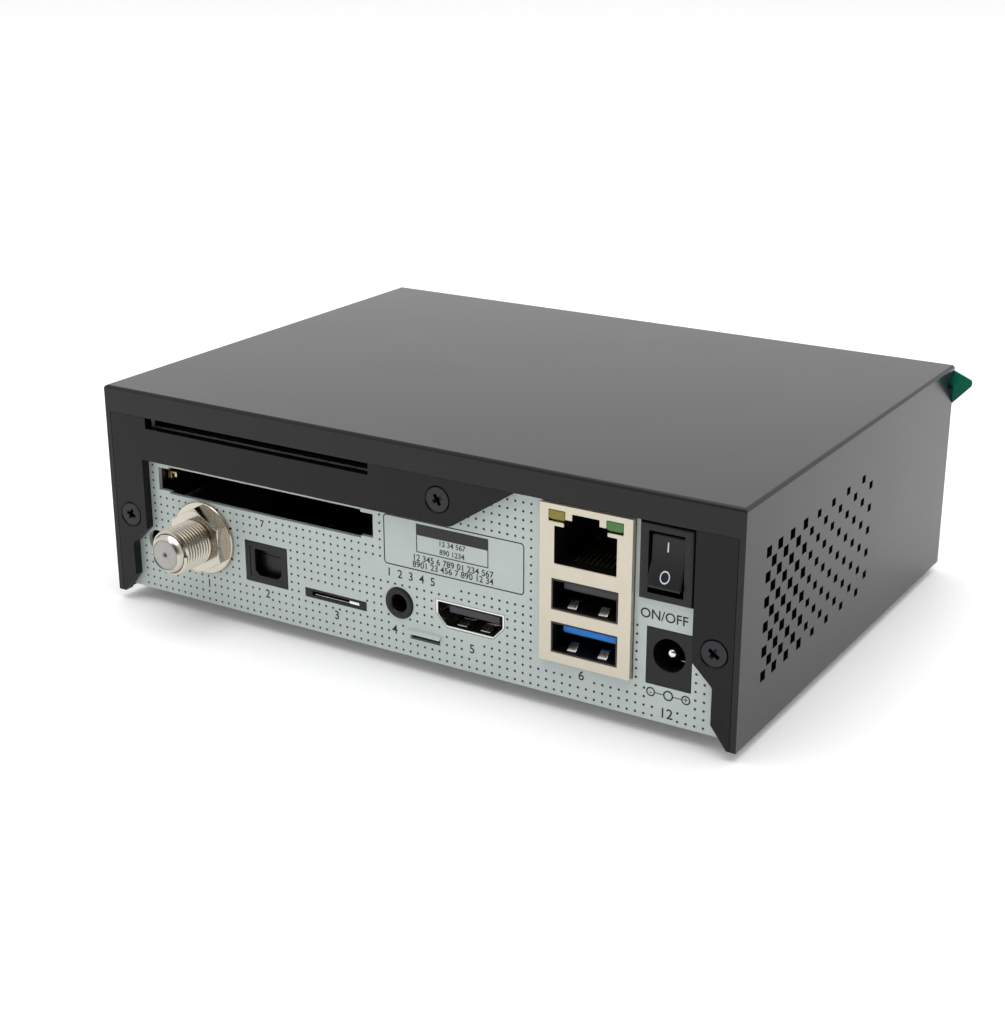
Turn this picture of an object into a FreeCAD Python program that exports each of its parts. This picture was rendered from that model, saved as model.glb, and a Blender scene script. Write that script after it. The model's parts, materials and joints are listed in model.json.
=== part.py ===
import FreeCAD, Part
import os
from math import cos, pi, radians, sin, sqrt

# Satellite receiver in a folded steel cover, seen from its connector side.
# Millimetres. +X is to the right when facing the connectors, -Y points out of them,
# +Z is up. The origin is on the table, below the middle of the cover.

# Cover
WIDTH = 145.0
DEPTH = 108.0
HEIGHT = 45.6
SHEET = 1.2
BEND_RADIUS = 1.6
LIP_DROP = 5.5
COVER_LIFT = 2.0
SEAM = 0.1
NOTCH_DEPTH = 3.7
NOTCH_HEIGHT = 2.4
NOTCH_BELOW_TOP = 4.9
NOTCH_ROUND = 1.0

# Side vents
VENT_COLUMNS = 16
VENT_ROWS = 11
VENT_FIRST = 10.3
VENT_STEP = 2.33
VENT_GROWTH = 0.0652
VENT_BELOW_TOP = 10.9
VENT_ROW_STEP = 2.369
VENT_SIZE = (2.15, 1.98)
VENT_SMALL = (1.8, 1.52)
VENT_FULL_COLUMNS = 7

# Rear frame
FRAME_THICK = 2.0
LIP_BAND = 0.75
ARM_WIDTH = 9.2
FOOT_WIDTH = 5.1
FOOT_TIP = 1.85
FOOT_CHAMFER_TOP = 4.3
FOOT_TOP = 11.5
ARM_START = 15.5
BLOCK_HEIGHT = 9.3
BLOCK_FROM_LEFT = 85.5
BLOCK_SLANT_FROM_LEFT = 99.5
BLOCK_RADIUS = 3.0
FRAME_FILLET = 0.8
FRAME_SCREW_EDGE = 5.0
FRAME_SCREW_HEIGHT = 18.0
FRAME_SCREW_FROM_LEFT = 82.7
FRAME_SCREW_BELOW_LIP = 4.4
SCREW_HEAD = 5.5
SCREW_SHANK = 2.9
SCREW_HEAD_DEPTH = 1.3
SCREW_LENGTH = 6.5
SCREW_HOLE_PLAY = 0.1
SCREW_FACETS = 8

# Rear panel and tray
PANEL_THICK = 1.0
PANEL_SIDE_PLAY = 0.2
PANEL_TOP_PLAY = 0.4
TRAY_THICK = 1.0
TRAY_UNDERSIDE = 3.2
TRAY_FLANGE = 11.0
TRAY_FRONT_FLANGE = 5.0
TRAY_REAR_FLANGE = 3.0
TRAY_FRONT_SETBACK = 7.6
TRAY_SLOTS = 9
TRAY_SLOT_SIZE = (2.4, 22.0)
TRAY_SLOT_STEP = 7.0
TRAY_SLOTS_FROM_RIGHT = 52.5
TRAY_SLOTS_FROM_REAR = 58.0
OPENING_PLAY = 0.1
SPARE_HOLE_FROM_LEFT = 10.2
SPARE_HOLE_HEIGHT = 12.4
SPARE_HOLE_RADIUS = 2.4
LOUVRE_FROM_LEFT = 78.25
LOUVRE_HEIGHT = 5.85
LOUVRE_SIZE = (6.9, 1.7)
LOUVRE_REACH = 0.9
LOUVRE_WALL = 0.4

# Feet
FOOT_DIAMETER = 10.0
FOOT_INSET = 13.0
FOOT_TAPER = 0.6

# Main board
BOARD_THICK = 1.6
BOARD_RISE = 4.6
BOARD_SIDE_PLAY = 1.2
BOARD_REAR = 3.4
BOARD_FRONT_SETBACK = 14.0
POST_FLATS = 5.0
POST_INSET = 4.5
POST_FROM_REAR = 37.0
BOARD_SCREW = 3.0
BOARD_SCREW_HEAD = (5.4, 1.8)
BOARD_SCREW_DEPTH = 4.0

# Tuner
TUNER_FROM_LEFT = 23.4
TUNER_RISE = 7.45
TUNER_CAN = (17.8, 32.0, 13.9)
BARREL_RADIUS = 4.765
BARREL_REACH = 10.35
BARREL_ROOT = 4.6
BARREL_RELIEF = 0.3
BARREL_BORE = 3.6
BARREL_MOUTH = 0.5
BARREL_CHAMFER = 0.5
WASHER_RADIUS = 7.9
WASHER_THICK = 0.8
NUT_FLATS = 12.5
NUT_THICK = 2.5
NUT_CHAMFER = 0.5
NUT_TURN = 1.1
INSULATOR_RECESS = 0.6
INSULATOR_LENGTH = 7.0
INSULATOR_FLOOR = 1.0
CONTACT_HOLE = 0.55

# Optical socket
OPTICAL_FROM_LEFT = 39.45
OPTICAL_SIZE = (10.7, 13.5, 8.7)
OPTICAL_RISE = 0.35
OPTICAL_WALL = 1.1
OPTICAL_BACK = 2.5
SHUTTER_SETBACK = 2.0
SHUTTER_THICK = 0.8
SHUTTER_PLAY = 0.15
SHUTTER_PIN = 0.35
SHUTTER_PIN_PLAY = 0.05
SHUTTER_AXIS_DROP = 0.75
PIN_FACETS = 8

# Memory card reader
MEMORY_FROM_LEFT = 56.8
MEMORY_SIZE = (15.0, 14.5, 1.8)
MEMORY_SLOT = (11.6, 13.0, 0.9)

# Remote eye socket
REMOTE_FROM_LEFT = 72.3
REMOTE_RISE = 3.5
REMOTE_NOSE = 3.2
REMOTE_BORE = 1.8
REMOTE_BORE_DEPTH = 13.0
REMOTE_BODY = (7.0, 12.5, 6.4)
REMOTE_PROUD = 0.4

# Video socket
VIDEO_FROM_RIGHT = 56.5
VIDEO_SIZE = (15.3, 11.5, 5.4)
VIDEO_RISE = 0.85
VIDEO_WALL = 0.4
VIDEO_CHAMFER = (2.4, 2.6)
VIDEO_TONGUE = (11.4, 8.0, 1.5)
VIDEO_TONGUE_RISE = 2.5
VIDEO_HEEL = 1.5
VIDEO_LEG = 1.5

# Network and data socket stack
STACK_FROM_RIGHT = 31.2
STACK_SIZE = (19.0, 22.0, 30.9)
STACK_PROUD = 1.2
STACK_WALL = 0.4
STACK_PLAY = 0.05
JACK_WIDTH = 12.7
JACK_BASE = 19.5
JACK_HEIGHT = 7.2
JACK_STEP = (8.8, 1.5)
JACK_LATCH = (5.5, 1.3)
JACK_DEPTH = 14.0
JACK_PINS = 8
JACK_PIN_PITCH = 1.02
JACK_PIN_WIDTH = 0.46
JACK_PIN_HEIGHT = 2.2
JACK_PIN_SETBACK = 3.0
LIGHT_SIZE = (3.3, 2.1)
LIGHT_DEPTH = 4.0
LIGHT_OFFSET = 5.9
LIGHT_RISE = 27.6
PORT_SIZE = (13.1, 5.4)
PORT_RISES = (2.3, 10.8)
PORT_DEPTH = 13.5
PORT_WALL = 0.3
TONGUE_SIZE = (11.1, 11.0, 1.9)
TONGUE_RISE = 2.9
TONGUE_NOSE = 0.4

# Rocker switch
SWITCH_FROM_RIGHT = 15.1
SWITCH_BEZEL = (10.8, 14.7)
SWITCH_PROUD = 1.2
SWITCH_BELOW_TOP = 13.35
SWITCH_BODY = (9.2, 12.8)
SWITCH_DEPTH = 11.0
SWITCH_OPENING = (7.0, 11.6)
SWITCH_WALL = 1.5
SWITCH_BEZEL_ROUND = 0.8
ROCKER_SIZE = (6.7, 10.2)
ROCKER_TURN = 22.0
ROCKER_PIVOT = 3.0
ROCKER_END_DEPTH = 0.57
ROCKER_WAIST = 1.35
ROCKER_SKIRT = 2.6
ROCKER_PIN = 0.8
ROCKER_PIN_PLAY = 0.05
ROCKER_PIN_WALL = 0.4
ROCKER_DRAFT = 0.6
ROCKER_ROUND = 0.5
TERMINAL_SIZE = (0.8, 5.5, 4.0)
TERMINAL_GAP = 5.6
WIRE_RADIUS = 0.7
WIRE_BEND = 5.0
WIRE_RUN = 4.0
WIRE_FACETS = 6
PLUG_SIZE = (9.8, 5.0, 6.0)

# Power inlet
INLET_FROM_RIGHT = 14.5
INLET_SIZE = (8.9, 13.5, 11.0)
INLET_RISE = 6.2
INLET_BORE = 3.15
INLET_BORE_DEPTH = 10.0
INLET_PIN = 1.0
INLET_PIN_SETBACK = 0.8

# Module slot, guide and header
MODULE_FROM_LEFT = 39.05
MODULE_WIDTH = 54.7
MODULE_MIDDLE = 48.9
MODULE_RISE = 15.8
MODULE_EDGE = 4.9
MODULE_CROWN = 0.5
GUIDE_WALL = 1.6
GUIDE_RAIL = 2.6
GUIDE_LENGTH = 58.0
GUIDE_ROOF = 1.4
GUIDE_LEG = 8.0
GUIDE_LEG_SETBACK = 14.0
GUIDE_SETBACK = 0.3
HEADER_SIZE = (50.0, 12.0, 9.0)
HEADER_DROP = 1.5
HEADER_FOOT = 6.0
HEADER_FOOT_INSET = 5.0
HEADER_PINS = 34
HEADER_PITCH = 1.27
HEADER_PIN = 0.44
HEADER_PIN_LENGTH = 7.0

# Card reader
CARD_FROM_LEFT = 38.85
CARD_SLIT = (56.2, 2.4)
CARD_CHANNEL = (54.6, 1.5)
CARD_BELOW_LIP = 1.15
READER_SIZE = (58.0, 48.0, 5.2)
READER_SETBACK = 0.4
READER_POST = 5.0
READER_BACK = 4.0
READER_PINS = 8
READER_PIN = 0.64
READER_PIN_PITCH = 2.0
READER_EAR = 1.8
READER_EAR_LENGTH = 20.0
READER_PIN_PLAY = 2.5

# Parts on the main board; places are from the right side and the rear, or from the left side where named
PROCESSOR_SIZE = (25.0, 25.0, 2.0)
PROCESSOR_PLACE = (44.9, 56.0)
HEATSINK_SIZE = (34.0, 34.0, 12.0)
HEATSINK_BASE = 2.5
HEATSINK_FINS = 9
HEATSINK_FIN = 1.2
MEMORY_CHIPS = 4
MEMORY_CHIP = (11.0, 8.0, 1.1)
MEMORY_CHIP_STEP = 12.0
MEMORY_CHIP_AHEAD = 22.0
TALL_CAPACITOR = (4.0, 12.0)
TALL_CAPACITOR_PLACES = ((56.5, 21.0), (16.5, 42.0), (16.5, 52.0))
SLOT_CAPACITOR = (2.5, 9.4)
SLOT_CAPACITOR_FROM_LEFT = (44.0, 20.0)
GUIDE_CAPACITOR = (3.15, 9.0)
GUIDE_CAPACITOR_FROM_LEFT = (76.5, 33.0)
CAPACITOR_FACETS = 16
COIL_SIZE = (7.0, 7.0, 4.0)
COIL_CORNER = 1.2
COIL_PLACES = ((46.5, 28.5), (16.5, 62.0), (16.5, 72.0))

# Front
FASCIA_PLAY = 0.3
FASCIA_PLATE = 2.4
FASCIA_RIM = 1.5
FASCIA_DEPTH = 7.0
WINDOW_SIZE = (66.0, 20.0)
WINDOW_EDGE = 1.5
WINDOW_THICK = 1.2
FILM_THICK = 0.12
FILM_MARGIN = 1.2
TAB_REACH = 4.0
TAB_BASE = 12.0
TAB_THICK = 0.2
TAB_BELOW_TOP = (1.4, 8.7)
TAB_APEX_BELOW_TOP = 3.7
TAB_TIP = 1.2
TAB_ROUND = 0.75
BUTTON_FROM_LEFT = 18.5
BUTTON_DIAMETER = 9.0
BUTTON_PLAY = 0.2
BUTTON_RECESS = 0.3
BUTTON_FLANGE = 11.0
BUTTON_FLANGE_THICK = 0.8
BUTTON_TRAVEL = 0.6
BUTTON_STEM = 3.0
BUTTON_EDGE = 0.35
KEY_SIZE = (6.0, 3.4)
KEY_PLUNGER = (1.7, 0.9)
FRONT_BOARD_SIDE_PLAY = 4.0
FRONT_BOARD_HEIGHT = 30.0
FRONT_BOARD_THICK = 1.6
FRONT_BOARD_SETBACK = 10.0
BOSS_DIAMETER = 5.0
BOSS_FACETS = 8
BOSS_FROM_SIDE = 10.3
BOSS_FROM_MIDDLE = 11.4
DISPLAY_SIZE = (50.0, 16.0)
EYE_FROM_MIDDLE = 29.0
EYE_SIZE = (5.6, 6.8)
EYE_LENS = 1.2
EYE_DEPTH = 4.0

# Levels and planes worked out from the sizes above
HALF_WIDTH = WIDTH / 2
REAR = -DEPTH / 2
FRONT = DEPTH / 2
EDGE = COVER_LIFT
TOP = EDGE + HEIGHT
LIP = TOP - LIP_DROP
FRAME_FACE = REAR
PANEL_FACE = REAR + FRAME_THICK
PANEL_BACK = PANEL_FACE + PANEL_THICK
INNER_HALF = HALF_WIDTH - SHEET
TRAY_TOP = TRAY_UNDERSIDE + TRAY_THICK
TRAY_HALF = INNER_HALF - PANEL_SIDE_PLAY
BOARD_BOTTOM = TRAY_TOP + BOARD_RISE
BOARD_TOP = BOARD_BOTTOM + BOARD_THICK
BOARD_HALF = TRAY_HALF - TRAY_THICK - BOARD_SIDE_PLAY
MODULE_BASE = BOARD_TOP + MODULE_RISE
MODULE_TOP = MODULE_BASE + MODULE_EDGE
ROOF_TOP = MODULE_TOP + GUIDE_ROOF
CARD_Z = LIP - CARD_BELOW_LIP
SWITCH_Z = TOP - SWITCH_BELOW_TOP
STACK_FRONT = PANEL_FACE - STACK_PROUD
STACK_TOP = BOARD_TOP + STACK_SIZE[2]
TUNER_X = TUNER_FROM_LEFT - HALF_WIDTH
TUNER_Z = BOARD_TOP + TUNER_RISE
NUT_FACE = PANEL_FACE - WASHER_THICK - NUT_THICK
OPTICAL_X = OPTICAL_FROM_LEFT - HALF_WIDTH
MEMORY_X = MEMORY_FROM_LEFT - HALF_WIDTH
REMOTE_X = REMOTE_FROM_LEFT - HALF_WIDTH
MODULE_X = MODULE_FROM_LEFT - HALF_WIDTH
CARD_X = CARD_FROM_LEFT - HALF_WIDTH
LOUVRE_X = LOUVRE_FROM_LEFT - HALF_WIDTH
BUTTON_X = BUTTON_FROM_LEFT - HALF_WIDTH
VIDEO_X = HALF_WIDTH - VIDEO_FROM_RIGHT
STACK_X = HALF_WIDTH - STACK_FROM_RIGHT
SWITCH_X = HALF_WIDTH - SWITCH_FROM_RIGHT
INLET_X = HALF_WIDTH - INLET_FROM_RIGHT
PROCESSOR_X = HALF_WIDTH - PROCESSOR_PLACE[0]
PROCESSOR_Y = REAR + PROCESSOR_PLACE[1]
FASCIA_HALF = INNER_HALF - FASCIA_PLAY
FASCIA_LOW = EDGE + FASCIA_PLAY
FASCIA_HIGH = TOP - SHEET - FASCIA_PLAY
FASCIA_MIDDLE = (FASCIA_LOW + FASCIA_HIGH) / 2
FASCIA_BACK = FRONT - FASCIA_PLATE
FRONT_BOARD_FACE = FRONT - FRONT_BOARD_SETBACK
# How far a cutting tool runs past the piece that it cuts
OVER = 5.0
X_AXIS = FreeCAD.Vector(1, 0, 0)
Y_AXIS = FreeCAD.Vector(0, 1, 0)
Z_AXIS = FreeCAD.Vector(0, 0, 1)


def block(x, y, z):
    """A box between the low and high value of each axis."""
    return Part.makeBox(x[1] - x[0], y[1] - y[0], z[1] - z[0], FreeCAD.Vector(x[0], y[0], z[0]))


def span(centre, size):
    """Low and high value of a size set about its centre."""
    return (centre - size / 2, centre + size / 2)


def up(low, size):
    """Low and high value of a size that starts at low."""
    return (low, low + size)


def rod(axis, start, radius, length):
    """A cylinder from a start point along an axis."""
    return Part.makeCylinder(radius, length, FreeCAD.Vector(*start), axis)


def faceted_rod(axis, start, radius, length, sides):
    """A straight prism along an axis whose corners lie on a circle."""
    upward = Z_AXIS if axis != Z_AXIS else X_AXIS
    across = axis.cross(upward)
    angles = [2 * pi * (index + 0.5) / sides for index in range(sides)]
    centre = FreeCAD.Vector(*start)
    points = [centre + across * (radius * cos(angle)) + upward * (radius * sin(angle)) for angle in angles]
    return prism(points, axis * length)


def cone(axis, start, radius, end_radius, length):
    """A cone frustum from a start point along an axis."""
    return Part.makeCone(radius, end_radius, length, FreeCAD.Vector(*start), axis)


def prism(points, direction):
    """A straight-sided outline pushed along a vector."""
    corners = [FreeCAD.Vector(*point) for point in points]
    return Part.Face(Part.makePolygon(corners + corners[:1])).extrude(FreeCAD.Vector(*direction))


def edges_where(shape, test):
    """Edges whose two ends pass the test."""
    found = []
    for edge in shape.Edges:
        if all(test(vertex.Point) for vertex in edge.Vertexes) and len(edge.Vertexes) == 2:
            found.append(edge)
    return found


def near(value, wanted):
    return abs(value - wanted) < 0.001


def cut_all(shape, tools):
    return shape.cut(Part.Compound(tools))


def group(solids):
    return Part.Compound(solids)


def save(name, shape):
    """Writes one piece after a check that it is sound."""
    if not shape.isValid():
        raise ValueError(name + " is not a sound solid")
    shape.exportStep("parts/" + name + ".step")


# Vent holes stand in a staggered grid whose columns spread towards the front.


def vent_holes():
    holes = []
    for row in range(VENT_ROWS):
        z = TOP - VENT_BELOW_TOP - row * VENT_ROW_STEP
        for column in range(row % 2, VENT_COLUMNS, 2):
            y = REAR + VENT_FIRST + VENT_STEP * column + VENT_GROWTH * column**2
            size = VENT_SIZE if column < VENT_FULL_COLUMNS else VENT_SMALL
            for side in (-1, 1):
                x = span(side * HALF_WIDTH, 4 * SHEET)
                holes.append(block(x, span(y, size[0]), span(z, size[1])))
    return holes


def top_cover():
    outer = block((-HALF_WIDTH, HALF_WIDTH), (REAR, FRONT), (EDGE, TOP))
    long_edges = edges_where(outer, lambda p: near(p.z, TOP) and near(abs(p.x), HALF_WIDTH))
    rear_edge = edges_where(outer, lambda p: near(p.z, TOP) and near(p.y, REAR))
    outer = outer.makeFillet(BEND_RADIUS, [e for e in long_edges if e.Length > WIDTH / 2] + rear_edge)
    inner = block((-INNER_HALF, INNER_HALF), (REAR + SHEET, FRONT + OVER), (EDGE - OVER, TOP - SHEET))
    doorway = block((-INNER_HALF, INNER_HALF), (REAR - OVER, REAR + 2 * SHEET), (EDGE - OVER, LIP))
    notch_top = TOP - NOTCH_BELOW_TOP + NOTCH_HEIGHT
    notch = block((-HALF_WIDTH - OVER, HALF_WIDTH + OVER), (FRONT - NOTCH_DEPTH, FRONT + OVER),
                  (notch_top - NOTCH_HEIGHT, notch_top))
    ends = edges_where(notch, lambda p: near(p.y, FRONT - NOTCH_DEPTH))
    notch = notch.makeFillet(NOTCH_ROUND, [e for e in ends if e.Length > WIDTH])
    return cut_all(outer, [inner, doorway, notch] + vent_holes())


def frame_outline(y):
    """Left half-way round: arm, foot, block and slanted tab, then the right arm."""
    edge = INNER_HALF - SEAM
    left = -HALF_WIDTH
    right = HALF_WIDTH
    top = TOP - SHEET - SEAM
    corners = [
        (-edge, EDGE),
        (left + FOOT_TIP, EDGE),
        (left + FOOT_WIDTH, EDGE + FOOT_CHAMFER_TOP),
        (left + FOOT_WIDTH, EDGE + FOOT_TOP),
        (left + ARM_WIDTH, EDGE + ARM_START),
        (left + ARM_WIDTH, LIP - BLOCK_HEIGHT),
        (left + BLOCK_FROM_LEFT, LIP - BLOCK_HEIGHT),
        (left + BLOCK_SLANT_FROM_LEFT, LIP),
        (right - ARM_WIDTH, LIP),
        (right - ARM_WIDTH, EDGE + ARM_START),
        (right - FOOT_WIDTH, EDGE + FOOT_TOP),
        (right - FOOT_WIDTH, EDGE + FOOT_CHAMFER_TOP),
        (right - FOOT_TIP, EDGE),
        (edge, EDGE),
        (edge, top),
        (-edge, top),
    ]
    return [(x, y, z) for x, z in corners]


def frame_screw_places():
    side = HALF_WIDTH - FRAME_SCREW_EDGE
    return [
        (-side, EDGE + FRAME_SCREW_HEIGHT),
        (FRAME_SCREW_FROM_LEFT - HALF_WIDTH, LIP - FRAME_SCREW_BELOW_LIP),
        (side, EDGE + FRAME_SCREW_HEIGHT),
    ]


def frame_screw(x, z, play):
    """Countersunk head and shank; play widens it into its own hole."""
    shank_radius = SCREW_SHANK / 2 + play
    head = cone(Y_AXIS, (x, FRAME_FACE, z), SCREW_HEAD / 2 + play, shank_radius, SCREW_HEAD_DEPTH)
    return head.fuse(faceted_rod(Y_AXIS, (x, FRAME_FACE, z), shank_radius, SCREW_LENGTH, SCREW_FACETS))


def rear_frame():
    plate = prism(frame_outline(FRAME_FACE), (0, FRAME_THICK, 0))
    block_end = BLOCK_FROM_LEFT - HALF_WIDTH
    bend = edges_where(plate, lambda p: near(p.x, block_end) and near(p.z, LIP - BLOCK_HEIGHT))
    plate = plate.makeFillet(BLOCK_RADIUS, bend)
    for x, z in ((ARM_WIDTH, ARM_START), (FOOT_WIDTH, FOOT_TOP)):
        for side in (-1, 1):
            place = side * (HALF_WIDTH - x)
            knee = edges_where(plate, lambda p: near(p.x, place) and near(p.z, EDGE + z))
            plate = plate.makeFillet(FRAME_FILLET, knee)
    rebate = block((-HALF_WIDTH, HALF_WIDTH), (REAR - OVER, PANEL_FACE - LIP_BAND), (LIP - SEAM / 2, TOP))
    slit_low = CARD_Z - CARD_SLIT[1] / 2
    slit = block(span(CARD_X, CARD_SLIT[0]), (REAR - OVER, PANEL_FACE + OVER), (slit_low, LIP))
    screws = [frame_screw(x, z, SCREW_HOLE_PLAY) for x, z in frame_screw_places()]
    return cut_all(plate, [rebate, slit] + screws)


def cover_screws():
    return group([frame_screw(x, z, 0.0) for x, z in frame_screw_places()])


# The module slot is wider along its middle, where a module is thicker than at its edges.


def module_slot(y):
    ends = block(span(MODULE_X, MODULE_WIDTH), y, (MODULE_BASE, MODULE_TOP))
    crown = (MODULE_BASE - MODULE_CROWN, MODULE_TOP + MODULE_CROWN)
    return ends.fuse(block(span(MODULE_X, MODULE_MIDDLE), y, crown))


def video_profile(y, grow):
    """Socket outline with its two lower corners cut off."""
    low, high = up(BOARD_TOP + VIDEO_RISE, VIDEO_SIZE[2])
    left, right = span(VIDEO_X, VIDEO_SIZE[0])
    across, rise = VIDEO_CHAMFER
    points = [
        (left - grow, high + grow),
        (left - grow, low + rise),
        (left + across, low - grow),
        (right - across, low - grow),
        (right + grow, low + rise),
        (right + grow, high + grow),
    ]
    return [(x, y, z) for x, z in points]


def panel_openings():
    through = (PANEL_FACE - OVER, PANEL_BACK + OVER)
    start = PANEL_FACE - OVER
    length = PANEL_THICK + 2 * OVER
    play = OPENING_PLAY
    optical_z = up(BOARD_TOP + OPTICAL_RISE, OPTICAL_SIZE[2])
    optical_z = (optical_z[0] - play, optical_z[1] + play)
    stack_z = (BOARD_TOP - play, STACK_TOP + play)
    bezel_hole = block(span(SWITCH_X, SWITCH_BODY[0] + 2 * play), through,
                       span(SWITCH_Z, SWITCH_BODY[1] + 2 * play))
    inlet_z = (BOARD_TOP - play, BOARD_TOP + INLET_SIZE[2] + play)
    holes = [
        module_slot(through),
        rod(Y_AXIS, (TUNER_X, start, TUNER_Z), BARREL_RADIUS + play, length),
        rod(Y_AXIS, (SPARE_HOLE_FROM_LEFT - HALF_WIDTH, start, EDGE + SPARE_HOLE_HEIGHT), SPARE_HOLE_RADIUS,
            length),
        block(span(OPTICAL_X, OPTICAL_SIZE[0] + 2 * play), through, optical_z),
        block(span(MEMORY_X, MEMORY_SIZE[0] + 2 * play), through,
              (BOARD_TOP - play, BOARD_TOP + MEMORY_SIZE[2] + play)),
        rod(Y_AXIS, (REMOTE_X, start, BOARD_TOP + REMOTE_RISE), REMOTE_NOSE + play, length),
        prism(video_profile(start, play), (0, length, 0)),
        block(span(STACK_X, STACK_SIZE[0] + 2 * play), through, stack_z),
        bezel_hole,
        block(span(INLET_X, INLET_SIZE[0] + 2 * play), through, inlet_z),
        block(span(LOUVRE_X, LOUVRE_SIZE[0]), through, span(EDGE + LOUVRE_HEIGHT, LOUVRE_SIZE[1])),
        block(span(CARD_X, CARD_SLIT[0]), through, span(CARD_Z, CARD_SLIT[1])),
    ]
    for x, z in frame_screw_places():
        hole_radius = SCREW_SHANK / 2 + SCREW_HOLE_PLAY
        holes.append(faceted_rod(Y_AXIS, (x, start, z), hole_radius, length, SCREW_FACETS))
    return holes


def louvre_hood():
    """A short pressed hood over the earthing slot."""
    x = span(LOUVRE_X, LOUVRE_SIZE[0] + 2 * LOUVRE_WALL)
    top = EDGE + LOUVRE_HEIGHT + LOUVRE_SIZE[1] / 2
    low = top - LOUVRE_SIZE[1] / 2
    outer = [
        (x[0], PANEL_FACE, top + LOUVRE_WALL),
        (x[0], PANEL_FACE - LOUVRE_REACH, low + LOUVRE_WALL),
        (x[0], PANEL_FACE - LOUVRE_REACH, low),
        (x[0], PANEL_FACE, top),
    ]
    return prism(outer, (x[1] - x[0], 0, 0))


def rear_panel():
    top = TOP - SHEET - PANEL_TOP_PLAY
    wall = block((-TRAY_HALF, TRAY_HALF), (PANEL_FACE, PANEL_BACK), (TRAY_UNDERSIDE, top))
    return cut_all(wall, panel_openings()).fuse(louvre_hood()).removeSplitter()


def post_places():
    side = BOARD_HALF - POST_INSET
    rear = REAR + POST_FROM_REAR
    front = FRONT - BOARD_FRONT_SETBACK - POST_INSET
    return [(-side, rear), (side, rear), (-side, front), (side, front)]


def foot_places():
    side = HALF_WIDTH - FOOT_INSET
    end = FRONT - FOOT_INSET
    return [(sx * side, sy * end) for sy in (-1, 1) for sx in (-1, 1)]


def base_tray():
    """Floor with tall sides, and low flanges along the front and the rear."""
    rear = PANEL_BACK + SEAM
    front = FRONT - TRAY_FRONT_SETBACK
    over_top = TRAY_TOP + 2 * TRAY_FLANGE
    inner = span(0, 2 * (TRAY_HALF - TRAY_THICK))
    outer = block((-TRAY_HALF, TRAY_HALF), (rear, front), up(TRAY_UNDERSIDE, TRAY_FLANGE))
    hollow = block(inner, (rear + TRAY_THICK, front - TRAY_THICK), (TRAY_TOP, over_top))
    rear_cut = block(inner, (rear - OVER, rear + TRAY_THICK + SEAM),
                     (TRAY_UNDERSIDE + TRAY_REAR_FLANGE, over_top))
    front_cut = block((-TRAY_HALF, TRAY_HALF), (front - TRAY_THICK - SEAM, front + OVER),
                      (TRAY_UNDERSIDE + TRAY_FRONT_FLANGE, over_top))
    slots = []
    first = HALF_WIDTH - TRAY_SLOTS_FROM_RIGHT - TRAY_SLOT_STEP * (TRAY_SLOTS - 1) / 2
    for index in range(TRAY_SLOTS):
        slots.append(block(span(first + index * TRAY_SLOT_STEP, TRAY_SLOT_SIZE[0]),
                           span(REAR + TRAY_SLOTS_FROM_REAR, TRAY_SLOT_SIZE[1]),
                           (TRAY_UNDERSIDE - OVER, TRAY_TOP + OVER / 2)))
    return cut_all(outer, [hollow, rear_cut, front_cut] + slots)


def rubber_feet():
    feet = []
    radius = FOOT_DIAMETER / 2
    for x, y in foot_places():
        feet.append(cone(Z_AXIS, (x, y, 0), radius - FOOT_TAPER, radius, TRAY_UNDERSIDE))
    return group(feet)


def board_screw_shaft(x, y, low, high):
    """The round part of a board screw, or the hole that takes it."""
    return faceted_rod(Z_AXIS, (x, y, low), BOARD_SCREW / 2, high - low, SCREW_FACETS)


def board_posts():
    posts = []
    for x, y in post_places():
        post = faceted_rod(Z_AXIS, (x, y, TRAY_TOP), POST_FLATS / sqrt(3), BOARD_RISE, 6)
        posts.append(post.cut(board_screw_shaft(x, y, TRAY_TOP, BOARD_BOTTOM)))
    return group(posts)


def board_screws():
    screws = []
    for x, y in post_places():
        shank = board_screw_shaft(x, y, BOARD_BOTTOM - BOARD_SCREW_DEPTH, BOARD_TOP)
        head = faceted_rod(Z_AXIS, (x, y, BOARD_TOP), BOARD_SCREW_HEAD[0] / 2, BOARD_SCREW_HEAD[1],
                           SCREW_FACETS)
        screws.append(shank.fuse(head))
    return group(screws)


def main_board():
    board = block((-BOARD_HALF, BOARD_HALF), (REAR + BOARD_REAR, FRONT - BOARD_FRONT_SETBACK),
                  (BOARD_BOTTOM, BOARD_TOP))
    low = BOARD_BOTTOM - OVER
    high = BOARD_TOP + OVER
    return cut_all(board, [board_screw_shaft(x, y, low, high) for x, y in post_places()])


# Tuner with its threaded aerial socket.


def tuner_can():
    width, length, height = TUNER_CAN
    return block(span(TUNER_X, width), up(REAR + BOARD_REAR, length), up(BOARD_TOP, height))


def tuner_barrel():
    """Threaded free end, then a narrower root under the nut, washer and panel."""
    tip = REAR - BARREL_REACH
    free_end = NUT_FACE - BARREL_RELIEF
    tube = rod(Y_AXIS, (TUNER_X, tip, TUNER_Z), BARREL_RADIUS, free_end - tip)
    tip_edge = [e for e in tube.Edges if near(e.CenterOfMass.y, tip)]
    tube = tube.makeChamfer(BARREL_CHAMFER, tip_edge)
    root = rod(Y_AXIS, (TUNER_X, free_end, TUNER_Z), BARREL_ROOT, REAR + BOARD_REAR - free_end)
    bore_depth = OVER + INSULATOR_RECESS + INSULATOR_LENGTH
    bore = rod(Y_AXIS, (TUNER_X, tip - OVER, TUNER_Z), BARREL_BORE, bore_depth)
    mouth = cone(Y_AXIS, (TUNER_X, tip, TUNER_Z), BARREL_BORE + BARREL_MOUTH, BARREL_BORE, BARREL_MOUTH)
    return tube.fuse(root).cut(bore).cut(mouth)


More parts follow.
